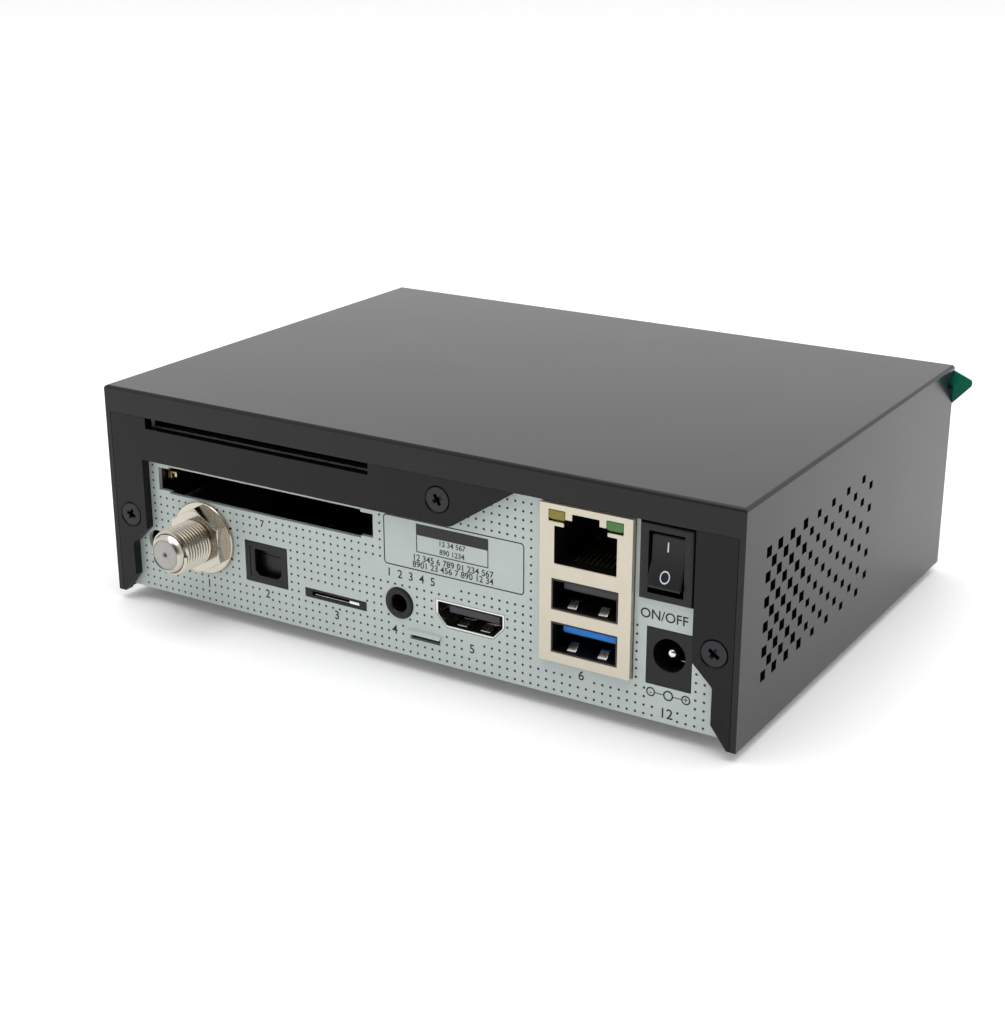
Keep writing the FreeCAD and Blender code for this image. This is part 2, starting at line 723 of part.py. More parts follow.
def tuner_insulator():
    start = (TUNER_X, REAR - BARREL_REACH + INSULATOR_RECESS, TUNER_Z)
    plug = rod(Y_AXIS, start, BARREL_BORE, INSULATOR_LENGTH)
    hole_depth = INSULATOR_LENGTH - INSULATOR_FLOOR
    return plug.cut(faceted_rod(Y_AXIS, start, CONTACT_HOLE, hole_depth, SCREW_FACETS))


def tuner_washer():
    start = (TUNER_X, PANEL_FACE - WASHER_THICK, TUNER_Z)
    ring = rod(Y_AXIS, start, WASHER_RADIUS, WASHER_THICK)
    return ring.cut(rod(Y_AXIS, start, BARREL_ROOT, WASHER_THICK))


def tuner_nut():
    """Six flats with a corner up, and the outer corners turned down to a cone."""
    corner = NUT_FLATS / sqrt(3)
    angles = [pi * k / 3 for k in range(6)]
    points = [(TUNER_X + corner * sin(a), NUT_FACE, TUNER_Z + corner * cos(a)) for a in angles]
    nut = prism(points, (0, NUT_THICK, 0))
    turned = cone(Y_AXIS, (TUNER_X, NUT_FACE, TUNER_Z), NUT_FLATS / 2, NUT_FLATS / 2 + NUT_TURN, NUT_CHAMFER)
    rest = rod(Y_AXIS, (TUNER_X, NUT_FACE + NUT_CHAMFER, TUNER_Z), NUT_FLATS / 2 + NUT_TURN, NUT_THICK)
    bore = rod(Y_AXIS, (TUNER_X, NUT_FACE, TUNER_Z), BARREL_ROOT, NUT_THICK)
    return nut.common(turned.fuse(rest)).cut(bore)


# Optical socket with a shutter that a plug pushes inwards.


def optical_cavity():
    """Low and high values of the space inside the socket."""
    x = span(OPTICAL_X, OPTICAL_SIZE[0] - 2 * OPTICAL_WALL)
    y = (PANEL_FACE - OVER, PANEL_FACE + OPTICAL_SIZE[1] - OPTICAL_BACK)
    low = BOARD_TOP + OPTICAL_RISE
    return x, y, (low + OPTICAL_WALL, low + OPTICAL_SIZE[2] - OPTICAL_WALL)


def shutter_axis():
    y = PANEL_FACE + SHUTTER_SETBACK + SHUTTER_THICK / 2
    return y, optical_cavity()[2][1] - SHUTTER_AXIS_DROP


def optical_socket():
    low = BOARD_TOP + OPTICAL_RISE
    x = span(OPTICAL_X, OPTICAL_SIZE[0])
    nose = block(x, up(PANEL_FACE, OPTICAL_SIZE[1]), up(low, OPTICAL_SIZE[2]))
    foot = block(span(OPTICAL_X, OPTICAL_SIZE[0]), (PANEL_BACK + BOARD_REAR, PANEL_FACE + OPTICAL_SIZE[1]),
                 (BOARD_TOP, low + OPTICAL_WALL))
    y, z = shutter_axis()
    pin_hole = rod(X_AXIS, (OPTICAL_X - OPTICAL_SIZE[0] / 2 + OPTICAL_WALL / 3, y, z),
                   SHUTTER_PIN + SHUTTER_PIN_PLAY, OPTICAL_SIZE[0] - OPTICAL_WALL * 2 / 3)
    return nose.fuse(foot).cut(block(*optical_cavity())).cut(pin_hole).removeSplitter()


def optical_shutter():
    x, _, z_range = optical_cavity()
    y, z = shutter_axis()
    width = x[1] - x[0] - 2 * SHUTTER_PLAY
    leaf = block(span(OPTICAL_X, width), span(y, SHUTTER_THICK), (z_range[0] + SHUTTER_PLAY, z))
    knuckle = rod(X_AXIS, (OPTICAL_X - width / 2, y, z), SHUTTER_THICK / 2, width)
    pin_length = width + OPTICAL_WALL
    pin = faceted_rod(X_AXIS, (OPTICAL_X - pin_length / 2, y, z), SHUTTER_PIN, pin_length, PIN_FACETS)
    return leaf.fuse(knuckle).fuse(pin).removeSplitter()


def memory_card_slot():
    width, depth, height = MEMORY_SIZE
    body = block(span(MEMORY_X, width), up(PANEL_FACE, depth), up(BOARD_TOP, height))
    slot_z = span(BOARD_TOP + MEMORY_SIZE[2] / 2, MEMORY_SLOT[2])
    return body.cut(block(span(MEMORY_X, MEMORY_SLOT[0]), up(PANEL_FACE, MEMORY_SLOT[1]), slot_z))


def remote_jack():
    z = BOARD_TOP + REMOTE_RISE
    face = PANEL_FACE - REMOTE_PROUD
    nose = rod(Y_AXIS, (REMOTE_X, face, z), REMOTE_NOSE, PANEL_BACK - face + BOARD_REAR)
    depth = up(PANEL_BACK + SEAM, REMOTE_BODY[1])
    body = block(span(REMOTE_X, REMOTE_BODY[0]), depth, up(BOARD_TOP, REMOTE_BODY[2]))
    bore = rod(Y_AXIS, (REMOTE_X, face, z), REMOTE_BORE, REMOTE_BORE_DEPTH)
    return nose.fuse(body).cut(bore).removeSplitter()


def video_socket_frame():
    face = PANEL_FACE
    outer = prism(video_profile(face, 0.0), (0, VIDEO_SIZE[1], 0))
    inner = prism(video_profile(face, -VIDEO_WALL), (0, VIDEO_SIZE[1] - VIDEO_WALL, 0))
    legs = []
    for side in (-1, 1):
        x = VIDEO_X + side * (VIDEO_SIZE[0] / 2 - VIDEO_WALL / 2)
        for y in (PANEL_BACK + BOARD_REAR - PANEL_THICK, face + VIDEO_SIZE[1] - 2 * VIDEO_LEG):
            legs.append(block(span(x, VIDEO_WALL), up(y, VIDEO_LEG), (BOARD_TOP, BOARD_TOP + VIDEO_SIZE[2])))
    return outer.cut(inner).fuse(legs).removeSplitter()


def video_socket_tongue():
    back = PANEL_FACE + VIDEO_SIZE[1] - VIDEO_WALL
    low = BOARD_TOP + VIDEO_RISE + VIDEO_TONGUE_RISE
    tongue = block(span(VIDEO_X, VIDEO_TONGUE[0]), (back - VIDEO_HEEL - VIDEO_TONGUE[1], back),
                   up(low, VIDEO_TONGUE[2]))
    heel = block(span(VIDEO_X, VIDEO_TONGUE[0]), (back - VIDEO_HEEL, back),
                 (low, BOARD_TOP + VIDEO_RISE + VIDEO_SIZE[2] - VIDEO_WALL))
    return tongue.fuse(heel).removeSplitter()


# Stack of a network socket over two data ports, in one plated can.


def jack_cavity(y):
    low = BOARD_TOP + JACK_BASE
    step = low + JACK_HEIGHT
    latch_top = step + JACK_STEP[1] + JACK_LATCH[1]
    parts = [
        block(span(STACK_X, JACK_WIDTH), y, (low, step)),
        block(span(STACK_X, JACK_STEP[0]), y, (low, step + JACK_STEP[1])),
        block(span(STACK_X, JACK_LATCH[0]), y, (low, latch_top)),
    ]
    return parts[0].fuse(parts[1:]).removeSplitter()


def port_block(rise, y, grow):
    return block(span(STACK_X, PORT_SIZE[0] + 2 * grow), y,
                 (BOARD_TOP + rise - grow, BOARD_TOP + rise + PORT_SIZE[1] + grow))


def light_block(side, y, grow):
    return block(span(STACK_X + side * LIGHT_OFFSET, LIGHT_SIZE[0] + 2 * grow), y,
                 (BOARD_TOP + LIGHT_RISE - grow, BOARD_TOP + LIGHT_RISE + LIGHT_SIZE[1] + grow))


def network_stack_shield():
    outer = block(span(STACK_X, STACK_SIZE[0]), up(STACK_FRONT, STACK_SIZE[1]), (BOARD_TOP, STACK_TOP))
    hollow = block(span(STACK_X, STACK_SIZE[0] - 2 * STACK_WALL),
                   (STACK_FRONT + STACK_WALL, STACK_FRONT + STACK_SIZE[1] - STACK_WALL),
                   (BOARD_TOP - OVER, STACK_TOP - STACK_WALL))
    face = (STACK_FRONT - OVER, STACK_FRONT + 2 * STACK_WALL)
    holes = [hollow, jack_cavity(face)]
    holes += [port_block(rise, face, PORT_WALL) for rise in PORT_RISES]
    holes += [light_block(side, face, STACK_PLAY) for side in (-1, 1)]
    return cut_all(outer, holes)


def network_stack_body():
    front = STACK_FRONT + STACK_WALL
    inset = 2 * STACK_WALL + 2 * STACK_PLAY
    body = block(span(STACK_X, STACK_SIZE[0] - inset), (front, STACK_FRONT + STACK_SIZE[1] - STACK_WALL),
                 (BOARD_TOP, STACK_TOP - STACK_WALL - STACK_PLAY))
    holes = [jack_cavity((front - OVER, front + JACK_DEPTH))]
    holes += [port_block(rise, (front - OVER, STACK_FRONT + PORT_DEPTH), PORT_WALL) for rise in PORT_RISES]
    holes += [light_block(side, (front - OVER, STACK_FRONT + LIGHT_DEPTH), STACK_PLAY) for side in (-1, 1)]
    return cut_all(body, holes)


def port_liners():
    liners = []
    for rise in PORT_RISES:
        outer = port_block(rise, up(STACK_FRONT, PORT_DEPTH), PORT_WALL)
        inner = port_block(rise, up(STACK_FRONT, PORT_DEPTH - PORT_WALL), 0.0)
        liners.append(outer.cut(inner))
    return group(liners)


def port_tongue(rise):
    back = STACK_FRONT + PORT_DEPTH - PORT_WALL
    bar = block(span(STACK_X, TONGUE_SIZE[0]), (back - TONGUE_SIZE[1], back),
                up(BOARD_TOP + rise + TONGUE_RISE, TONGUE_SIZE[2]))
    nose = edges_where(bar, lambda p: near(p.y, back - TONGUE_SIZE[1]))
    level = [e for e in nose if near(e.Vertexes[0].Point.z, e.Vertexes[1].Point.z)]
    return bar.makeChamfer(TONGUE_NOSE, level)


def network_contacts():
    """Sprung contacts that rise from the floor of the network socket."""
    contacts = []
    low = BOARD_TOP + JACK_BASE
    start = STACK_FRONT + JACK_PIN_SETBACK
    end = STACK_FRONT + STACK_WALL + JACK_DEPTH
    for index in range(JACK_PINS):
        x = STACK_X + (index - (JACK_PINS - 1) / 2) * JACK_PIN_PITCH - JACK_PIN_WIDTH / 2
        points = [
            (x, start, low),
            (x, start + JACK_PIN_WIDTH, low),
            (x, end, low + JACK_PIN_HEIGHT - JACK_PIN_WIDTH),
            (x, end, low + JACK_PIN_HEIGHT),
        ]
        contacts.append(prism(points, (JACK_PIN_WIDTH, 0, 0)))
    return group(contacts)


def stack_light(side):
    return light_block(side, up(STACK_FRONT, LIGHT_DEPTH), 0.0)


# Rocker switch: the upper half is pressed at rest, and a press on the lower half turns it.


def switch_bezel():
    flange = block(span(SWITCH_X, SWITCH_BEZEL[0]), (PANEL_FACE - SWITCH_PROUD, PANEL_FACE),
                   span(SWITCH_Z, SWITCH_BEZEL[1]))
    front = PANEL_FACE - SWITCH_PROUD
    rim = edges_where(flange, lambda p: near(p.y, front))
    flange = flange.makeFillet(SWITCH_BEZEL_ROUND, rim)
    body = block(span(SWITCH_X, SWITCH_BODY[0]), (PANEL_FACE - SEAM, PANEL_FACE + SWITCH_DEPTH),
                 span(SWITCH_Z, SWITCH_BODY[1]))
    cavity = block(span(SWITCH_X, SWITCH_OPENING[0]), (front - OVER, PANEL_FACE + SWITCH_DEPTH - SWITCH_WALL),
                   span(SWITCH_Z, SWITCH_OPENING[1]))
    hole_length = SWITCH_BODY[0] - 2 * ROCKER_PIN_WALL
    pin_hole = rod(X_AXIS, (SWITCH_X - hole_length / 2, REAR + ROCKER_PIVOT, SWITCH_Z),
                   ROCKER_PIN + ROCKER_PIN_PLAY, hole_length)
    return flange.fuse(body).cut(cavity).cut(pin_hole).removeSplitter()


def switch_rocker():
    half = ROCKER_SIZE[1] / 2
    x = SWITCH_X - ROCKER_SIZE[0] / 2
    pivot = REAR + ROCKER_PIVOT
    profile = [
        (x, REAR + ROCKER_END_DEPTH, SWITCH_Z - half),
        (x, REAR + ROCKER_WAIST, SWITCH_Z),
        (x, REAR + ROCKER_END_DEPTH, SWITCH_Z + half),
        (x, pivot + ROCKER_SKIRT / 2, SWITCH_Z + half - ROCKER_DRAFT),
        (x, pivot + ROCKER_SKIRT, SWITCH_Z),
        (x, pivot + ROCKER_SKIRT / 2, SWITCH_Z - half + ROCKER_DRAFT),
    ]
    rocker = prism(profile, (ROCKER_SIZE[0], 0, 0))
    ends = edges_where(rocker, lambda p: near(p.y, REAR + ROCKER_END_DEPTH))
    rocker = rocker.makeFillet(ROCKER_ROUND, ends)
    length = SWITCH_BODY[0] - 3 * ROCKER_PIN_WALL
    pin = faceted_rod(X_AXIS, (SWITCH_X - length / 2, pivot, SWITCH_Z), ROCKER_PIN, length, PIN_FACETS)
    rocker = rocker.fuse(pin)
    rocker.rotate(FreeCAD.Vector(SWITCH_X, pivot, SWITCH_Z), X_AXIS, -ROCKER_TURN / 2)
    return rocker


def switch_terminals():
    start = PANEL_FACE + SWITCH_DEPTH
    return group([block(span(SWITCH_X, TERMINAL_SIZE[0]), up(start, TERMINAL_SIZE[1]),
                        span(SWITCH_Z + side * TERMINAL_GAP / 2, TERMINAL_SIZE[2]))
                  for side in (-1, 1)])


def wire_start():
    return PANEL_FACE + SWITCH_DEPTH + TERMINAL_SIZE[1]


def plug_top():
    return BOARD_TOP + PLUG_SIZE[2]


def switch_wire(side):
    """A lead from one terminal: a short run, a quarter turn and a drop to the plug."""
    x = SWITCH_X + TERMINAL_SIZE[0]
    z = SWITCH_Z + side * TERMINAL_GAP / 2
    bend = WIRE_BEND
    run = WIRE_RUN + (side + 1) * WIRE_RUN / 4
    start = FreeCAD.Vector(x, wire_start(), z)
    angles = [2 * pi * k / WIRE_FACETS for k in range(WIRE_FACETS)]
    corners = [start + X_AXIS * (WIRE_RADIUS * cos(a)) + Z_AXIS * (WIRE_RADIUS * sin(a)) for a in angles]
    section = Part.Face(Part.makePolygon(corners + corners[:1]))
    level = section.extrude(Y_AXIS * run)
    section.translate(Y_AXIS * run)
    turn = section.revolve(start + Y_AXIS * run - Z_AXIS * bend, X_AXIS * -1, 90)
    section.rotate(start + Y_AXIS * run - Z_AXIS * bend, X_AXIS * -1, 90)
    drop = section.extrude(Z_AXIS * (plug_top() - z + bend))
    return level.fuse([turn, drop])


def switch_wires():
    return group([switch_wire(-1), switch_wire(1)])


def switch_plug():
    y = wire_start() + WIRE_RUN + WIRE_BEND
    rear, front = span(y, PLUG_SIZE[1])
    return block(span(SWITCH_X, PLUG_SIZE[0]), (rear, front + WIRE_RUN / 2), (BOARD_TOP, plug_top()))


def power_inlet():
    body = block(span(INLET_X, INLET_SIZE[0]), up(PANEL_FACE, INLET_SIZE[1]), up(BOARD_TOP, INLET_SIZE[2]))
    return body.cut(rod(Y_AXIS, (INLET_X, PANEL_FACE, BOARD_TOP + INLET_RISE), INLET_BORE, INLET_BORE_DEPTH))


def power_inlet_pin():
    start = (INLET_X, PANEL_FACE + INLET_PIN_SETBACK, BOARD_TOP + INLET_RISE)
    pin = rod(Y_AXIS, start, INLET_PIN, INLET_BORE_DEPTH - INLET_PIN_SETBACK)
    tip = [e for e in pin.Edges if near(e.CenterOfMass.y, start[1])]
    return pin.makeChamfer(INLET_PIN / 2, tip)


# Guide rails, header and card reader above the board.


def guide_half():
    return MODULE_WIDTH / 2 + SEAM + GUIDE_WALL


def module_guide():
    """A roof over two channel rails, each on two legs."""
    rear = PANEL_BACK + GUIDE_SETBACK
    front = rear + GUIDE_LENGTH
    half = guide_half()
    roof = block(span(MODULE_X, 2 * half), (rear + GUIDE_LEG_SETBACK, front),
                 (MODULE_TOP + MODULE_CROWN, ROOF_TOP))
    parts = []
    for side in (-1, 1):
        outer = MODULE_X + side * half
        wall = sorted((outer, outer - side * GUIDE_WALL))
        rail = sorted((outer, outer - side * GUIDE_RAIL * 2))
        parts.append(block(wall, (rear, front), (MODULE_BASE - GUIDE_WALL, ROOF_TOP)))
        parts.append(block(rail, (rear, front), (MODULE_BASE - GUIDE_WALL, MODULE_BASE - SEAM)))
        parts.append(block(rail, (rear, front), (MODULE_TOP + SEAM, ROOF_TOP)))
        for leg in (rear + GUIDE_LEG_SETBACK, front - GUIDE_LEG):
            parts.append(block(wall, up(leg, GUIDE_LEG), (BOARD_TOP, MODULE_BASE)))
    return roof.fuse(parts).removeSplitter()


def header_front():
    return PANEL_BACK + GUIDE_SETBACK + GUIDE_LENGTH + SEAM


def module_header():
    y = up(header_front(), HEADER_SIZE[1])
    bar = block(span(MODULE_X, HEADER_SIZE[0]), y, up(MODULE_BASE - HEADER_DROP, HEADER_SIZE[2]))
    feet = []
    for side in (-1, 1):
        centre = MODULE_X + side * (HEADER_SIZE[0] / 2 - HEADER_FOOT_INSET)
        feet.append(block(span(centre, HEADER_FOOT), y, (BOARD_TOP, MODULE_BASE)))
    return bar.fuse(feet).removeSplitter()


def header_pins():
    """Two rows of contact pins that reach into the module's far end."""
    pins = []
    middle = (MODULE_BASE + MODULE_TOP) / 2
    for row in (-1, 1):
        for index in range(HEADER_PINS):
            x = MODULE_X + (index - (HEADER_PINS - 1) / 2) * HEADER_PITCH
            pins.append(block(span(x, HEADER_PIN), (header_front() - HEADER_PIN_LENGTH, header_front()),
                              span(middle + row * HEADER_PITCH / 2, HEADER_PIN)))
    return group(pins)


def reader_pin_place():
    """The row of pins stands just outside the guide, under the reader's ear."""
    x = MODULE_X + guide_half() + READER_PIN_PLAY
    return x, PANEL_BACK + READER_SETBACK + READER_SIZE[1] - READER_EAR_LENGTH / 2 - READER_POST


def card_reader():
    rear = PANEL_BACK + READER_SETBACK
    x = span(CARD_X, READER_SIZE[0])
    height = span(CARD_Z, READER_SIZE[2])
    body = block(x, up(rear, READER_SIZE[1]), height)
    pin_x, pin_y = reader_pin_place()
    ear = block((CARD_X, pin_x + READER_EAR), span(pin_y, READER_EAR_LENGTH), height)
    depth = READER_SIZE[1] - READER_BACK
    channel = block(span(CARD_X, CARD_CHANNEL[0]), (rear - OVER, rear + depth), span(CARD_Z, CARD_CHANNEL[1]))
    posts = []
    for side in (-1, 1):
        for y in (rear + GUIDE_LEG_SETBACK, rear + READER_SIZE[1] - READER_POST):
            centre = CARD_X + side * (READER_SIZE[0] / 2 - READER_POST)
            posts.append(block(span(centre, READER_POST), up(y, READER_POST), (ROOF_TOP, height[0])))
    return body.fuse([ear] + posts).cut(channel).removeSplitter()


def reader_pins():
    x, middle = reader_pin_place()
    pins = []
    for index in range(READER_PINS):
        y = middle + (index - (READER_PINS - 1) / 2) * READER_PIN_PITCH
        pins.append(block(span(x, READER_PIN), span(y, READER_PIN), (BOARD_TOP, CARD_Z - READER_SIZE[2] / 2)))
    return group(pins)


# Chips, cooling and power parts on the board.


def main_processor():
    return block(span(PROCESSOR_X, PROCESSOR_SIZE[0]), span(PROCESSOR_Y, PROCESSOR_SIZE[1]),
                 up(BOARD_TOP, PROCESSOR_SIZE[2]))


def heatsink():
    low = BOARD_TOP + PROCESSOR_SIZE[2]
    depth = span(PROCESSOR_Y, HEATSINK_SIZE[1])
    body = block(span(PROCESSOR_X, HEATSINK_SIZE[0]), depth, up(low, HEATSINK_SIZE[2]))
    pitch = (HEATSINK_SIZE[0] - HEATSINK_FIN) / (HEATSINK_FINS - 1)
    gaps = []
    for index in range(HEATSINK_FINS - 1):
        start = PROCESSOR_X - HEATSINK_SIZE[0] / 2 + HEATSINK_FIN + index * pitch
        gaps.append(block((start, start + pitch - HEATSINK_FIN), span(PROCESSOR_Y, HEATSINK_SIZE[1] + OVER),
                          (low + HEATSINK_BASE, low + HEATSINK_SIZE[2] + OVER)))
    return cut_all(body, gaps)


def memory_chips():
    chips = []
    for index in range(MEMORY_CHIPS):
        x = PROCESSOR_X + (index - (MEMORY_CHIPS - 1) / 2) * MEMORY_CHIP_STEP
        chips.append(block(span(x, MEMORY_CHIP[0]), span(PROCESSOR_Y + MEMORY_CHIP_AHEAD, MEMORY_CHIP[1]),
                           up(BOARD_TOP, MEMORY_CHIP[2])))
    return group(chips)


def board_place(place):
    """A place on the board from its distances to the right side and the rear."""
    return HALF_WIDTH - place[0], REAR + place[1]


def capacitors():
    cans = [(board_place(place), TALL_CAPACITOR) for place in TALL_CAPACITOR_PLACES]
    lone = ((SLOT_CAPACITOR_FROM_LEFT, SLOT_CAPACITOR), (GUIDE_CAPACITOR_FROM_LEFT, GUIDE_CAPACITOR))
    for place, size in lone:
        cans.append(((place[0] - HALF_WIDTH, REAR + place[1]), size))
    return group([faceted_rod(Z_AXIS, (*place, BOARD_TOP), *size, CAPACITOR_FACETS) for place, size in cans])


def power_coils():
    coils = []
    for place in COIL_PLACES:
        x, y = board_place(place)
        coil = block(span(x, COIL_SIZE[0]), span(y, COIL_SIZE[1]), up(BOARD_TOP, COIL_SIZE[2]))
        coils.append(coil.makeChamfer(COIL_CORNER, upright_edges(coil)))
    return group(coils)


def upright_edges(shape):
    return [e for e in shape.Edges if near(e.Vertexes[0].Point.x, e.Vertexes[1].Point.x)
            and near(e.Vertexes[0].Point.y, e.Vertexes[1].Point.y)]


# Front: fascia inside the cover's mouth, window, film, button and display board.


def front_fascia():
    whole = block((-FASCIA_HALF, FASCIA_HALF), (FRONT - FASCIA_DEPTH, FRONT), (FASCIA_LOW, FASCIA_HIGH))
    hollow = block(span(0, 2 * (FASCIA_HALF - FASCIA_RIM)), (FRONT - FASCIA_DEPTH - OVER, FASCIA_BACK),
                   (FASCIA_LOW + FASCIA_RIM, FASCIA_HIGH - FASCIA_RIM))
    window = block(span(0, WINDOW_SIZE[0]), (FRONT - WINDOW_THICK, FRONT + OVER),
                   span(FASCIA_MIDDLE, WINDOW_SIZE[1]))
    sight = block(span(0, WINDOW_SIZE[0] - 2 * WINDOW_EDGE), (FASCIA_BACK - OVER, FRONT),
                  span(FASCIA_MIDDLE, WINDOW_SIZE[1] - 2 * WINDOW_EDGE))
    button = rod(Y_AXIS, (BUTTON_X, FASCIA_BACK - OVER, FASCIA_MIDDLE), BUTTON_DIAMETER / 2 + BUTTON_PLAY,
                 FASCIA_PLATE + 2 * OVER)
    shell = whole.cut(hollow)
    boss_x = FASCIA_HALF - BOSS_FROM_SIDE
    boss_length = FRONT - WINDOW_THICK - FRONT_BOARD_FACE
    bosses = []
    for side in (-1, 1):
        for level in (-1, 1):
            start = (side * boss_x, FRONT_BOARD_FACE, FASCIA_MIDDLE + level * BOSS_FROM_MIDDLE)
            bosses.append(faceted_rod(Y_AXIS, start, BOSS_DIAMETER / 2, boss_length, BOSS_FACETS))
    return shell.fuse(bosses).cut(Part.Compound([window, sight, button])).removeSplitter()


def front_window():
    return block(span(0, WINDOW_SIZE[0]), (FRONT - WINDOW_THICK, FRONT), span(FASCIA_MIDDLE, WINDOW_SIZE[1]))


def protective_film():
    return block(span(0, 2 * (FASCIA_HALF - FILM_MARGIN)), up(FRONT, FILM_THICK),
                 (FASCIA_LOW + FILM_MARGIN, FASCIA_HIGH - FILM_MARGIN))


def film_pull_tab():
    """Tongue of coloured film that reaches past the side of the cover."""
    y = FRONT + FILM_THICK
    start = HALF_WIDTH - TAB_BASE
    high = TOP - TAB_BELOW_TOP[0]
    low = TOP - TAB_BELOW_TOP[1]
    apex = TOP - TAB_APEX_BELOW_TOP
    tip = HALF_WIDTH + TAB_REACH
    points = [
        (start, y, low),
        (HALF_WIDTH, y, low),
        (tip, y, apex - TAB_TIP / 2),
        (tip, y, apex + TAB_TIP / 2),
        (HALF_WIDTH, y, high),
        (start, y, high),
    ]
    tab = prism(points, (0, TAB_THICK, 0))
    corners = edges_where(tab, lambda p: near(p.x, tip))
    level = [e for e in corners if not near(e.Vertexes[0].Point.y, e.Vertexes[1].Point.y)]
    return tab.makeFillet(TAB_ROUND, level)


def power_button():
    face = FRONT - BUTTON_RECESS
    cap = rod(Y_AXIS, (BUTTON_X, FASCIA_BACK - SEAM, FASCIA_MIDDLE), BUTTON_DIAMETER / 2,
              face - FASCIA_BACK + SEAM)
    rim = [e for e in cap.Edges if near(e.CenterOfMass.y, face)]
    cap = cap.makeChamfer(BUTTON_EDGE, rim)
    flange_back = FASCIA_BACK - SEAM - BUTTON_FLANGE_THICK
    flange = rod(Y_AXIS, (BUTTON_X, flange_back, FASCIA_MIDDLE), BUTTON_FLANGE / 2, BUTTON_FLANGE_THICK)
    stem_start = key_top() + BUTTON_PLAY
    stem = faceted_rod(Y_AXIS, (BUTTON_X, stem_start, FASCIA_MIDDLE), BUTTON_STEM / 2, flange_back - stem_start,
                       PIN_FACETS)
    return cap.fuse([flange, stem]).removeSplitter()


def key_top():
    return FRONT_BOARD_FACE + KEY_SIZE[1]


def tact_switch():
    base_top = key_top() - KEY_PLUNGER[1]
    base = block(span(BUTTON_X, KEY_SIZE[0]), (FRONT_BOARD_FACE, base_top), span(FASCIA_MIDDLE, KEY_SIZE[0]))
    plunger = faceted_rod(Y_AXIS, (BUTTON_X, base_top, FASCIA_MIDDLE), KEY_PLUNGER[0],
                          KEY_PLUNGER[1] - BUTTON_TRAVEL, PIN_FACETS)
    return base.fuse(plunger).removeSplitter()


def front_board():
    width = 2 * (FASCIA_HALF - FRONT_BOARD_SIDE_PLAY)
    return block(span(0, width), (FRONT_BOARD_FACE - FRONT_BOARD_THICK, FRONT_BOARD_FACE),
                 span(FASCIA_MIDDLE, FRONT_BOARD_HEIGHT))


def digit_display():
    return block(span(0, DISPLAY_SIZE[0]), (FRONT_BOARD_FACE, FASCIA_BACK - SEAM),
                 span(FASCIA_MIDDLE, DISPLAY_SIZE[1]))


def remote_eye():
    front = FRONT_BOARD_FACE + EYE_DEPTH
    base = block(span(EYE_FROM_MIDDLE, EYE_SIZE[0]), (FRONT_BOARD_FACE, front), span(FASCIA_MIDDLE, EYE_SIZE[1]))
    return base.makeChamfer(EYE_LENS, edges_where(base, lambda p: near(p.y, front)))


PIECES = {
    "top_cover": top_cover,
    "rear_frame": rear_frame,
    "cover_screws": cover_screws,
    "rear_panel": rear_panel,
    "base_tray": base_tray,
    "rubber_feet": rubber_feet,
    "board_posts": board_posts,
    "board_screws": board_screws,
    "main_board": main_board,
    "tuner_can": tuner_can,
    "tuner_barrel": tuner_barrel,
    "tuner_insulator": tuner_insulator,
    "tuner_washer": tuner_washer,
    "tuner_nut": tuner_nut,
    "optical_socket": optical_socket,
    "optical_shutter": optical_shutter,
    "memory_card_slot": memory_card_slot,
    "remote_jack": remote_jack,
    "video_socket_frame": video_socket_frame,
    "video_socket_tongue": video_socket_tongue,
    "network_stack_shield": network_stack_shield,
    "network_stack_body": network_stack_body,
    "network_contacts": network_contacts,
    "port_liners": port_liners,
    "upper_port_tongue": lambda: port_tongue(PORT_RISES[1]),
    "lower_port_tongue": lambda: port_tongue(PORT_RISES[0]),
    "link_light": lambda: stack_light(-1),
    "activity_light": lambda: stack_light(1),
    "switch_bezel": switch_bezel,
    "switch_rocker": switch_rocker,
    "switch_terminals": switch_terminals,
    "switch_wires": switch_wires,
    "switch_plug": switch_plug,
    "power_inlet": power_inlet,
    "power_inlet_pin": power_inlet_pin,
    "module_guide": module_guide,
    "module_header": module_header,
    "header_pins": header_pins,
    "card_reader": card_reader,
    "reader_pins": reader_pins,
    "main_processor": main_processor,
    "heatsink": heatsink,
    "memory_chips": memory_chips,
    "capacitors": capacitors,
    "power_coils": power_coils,
    "front_fascia": front_fascia,
    "front_window": front_window,
    "protective_film": protective_film,
    "film_pull_tab": film_pull_tab,
    "power_button": power_button,
    "tact_switch": tact_switch,
    "front_board": front_board,
    "digit_display": digit_display,
    "remote_eye": remote_eye,
}

os.makedirs("parts", exist_ok=True)
for piece_name, make_piece in PIECES.items():
    save(piece_name, make_piece())
print(len(PIECES), "pieces written")
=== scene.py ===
import json
from math import pi, radians

import bpy
from mathutils import Matrix, Vector

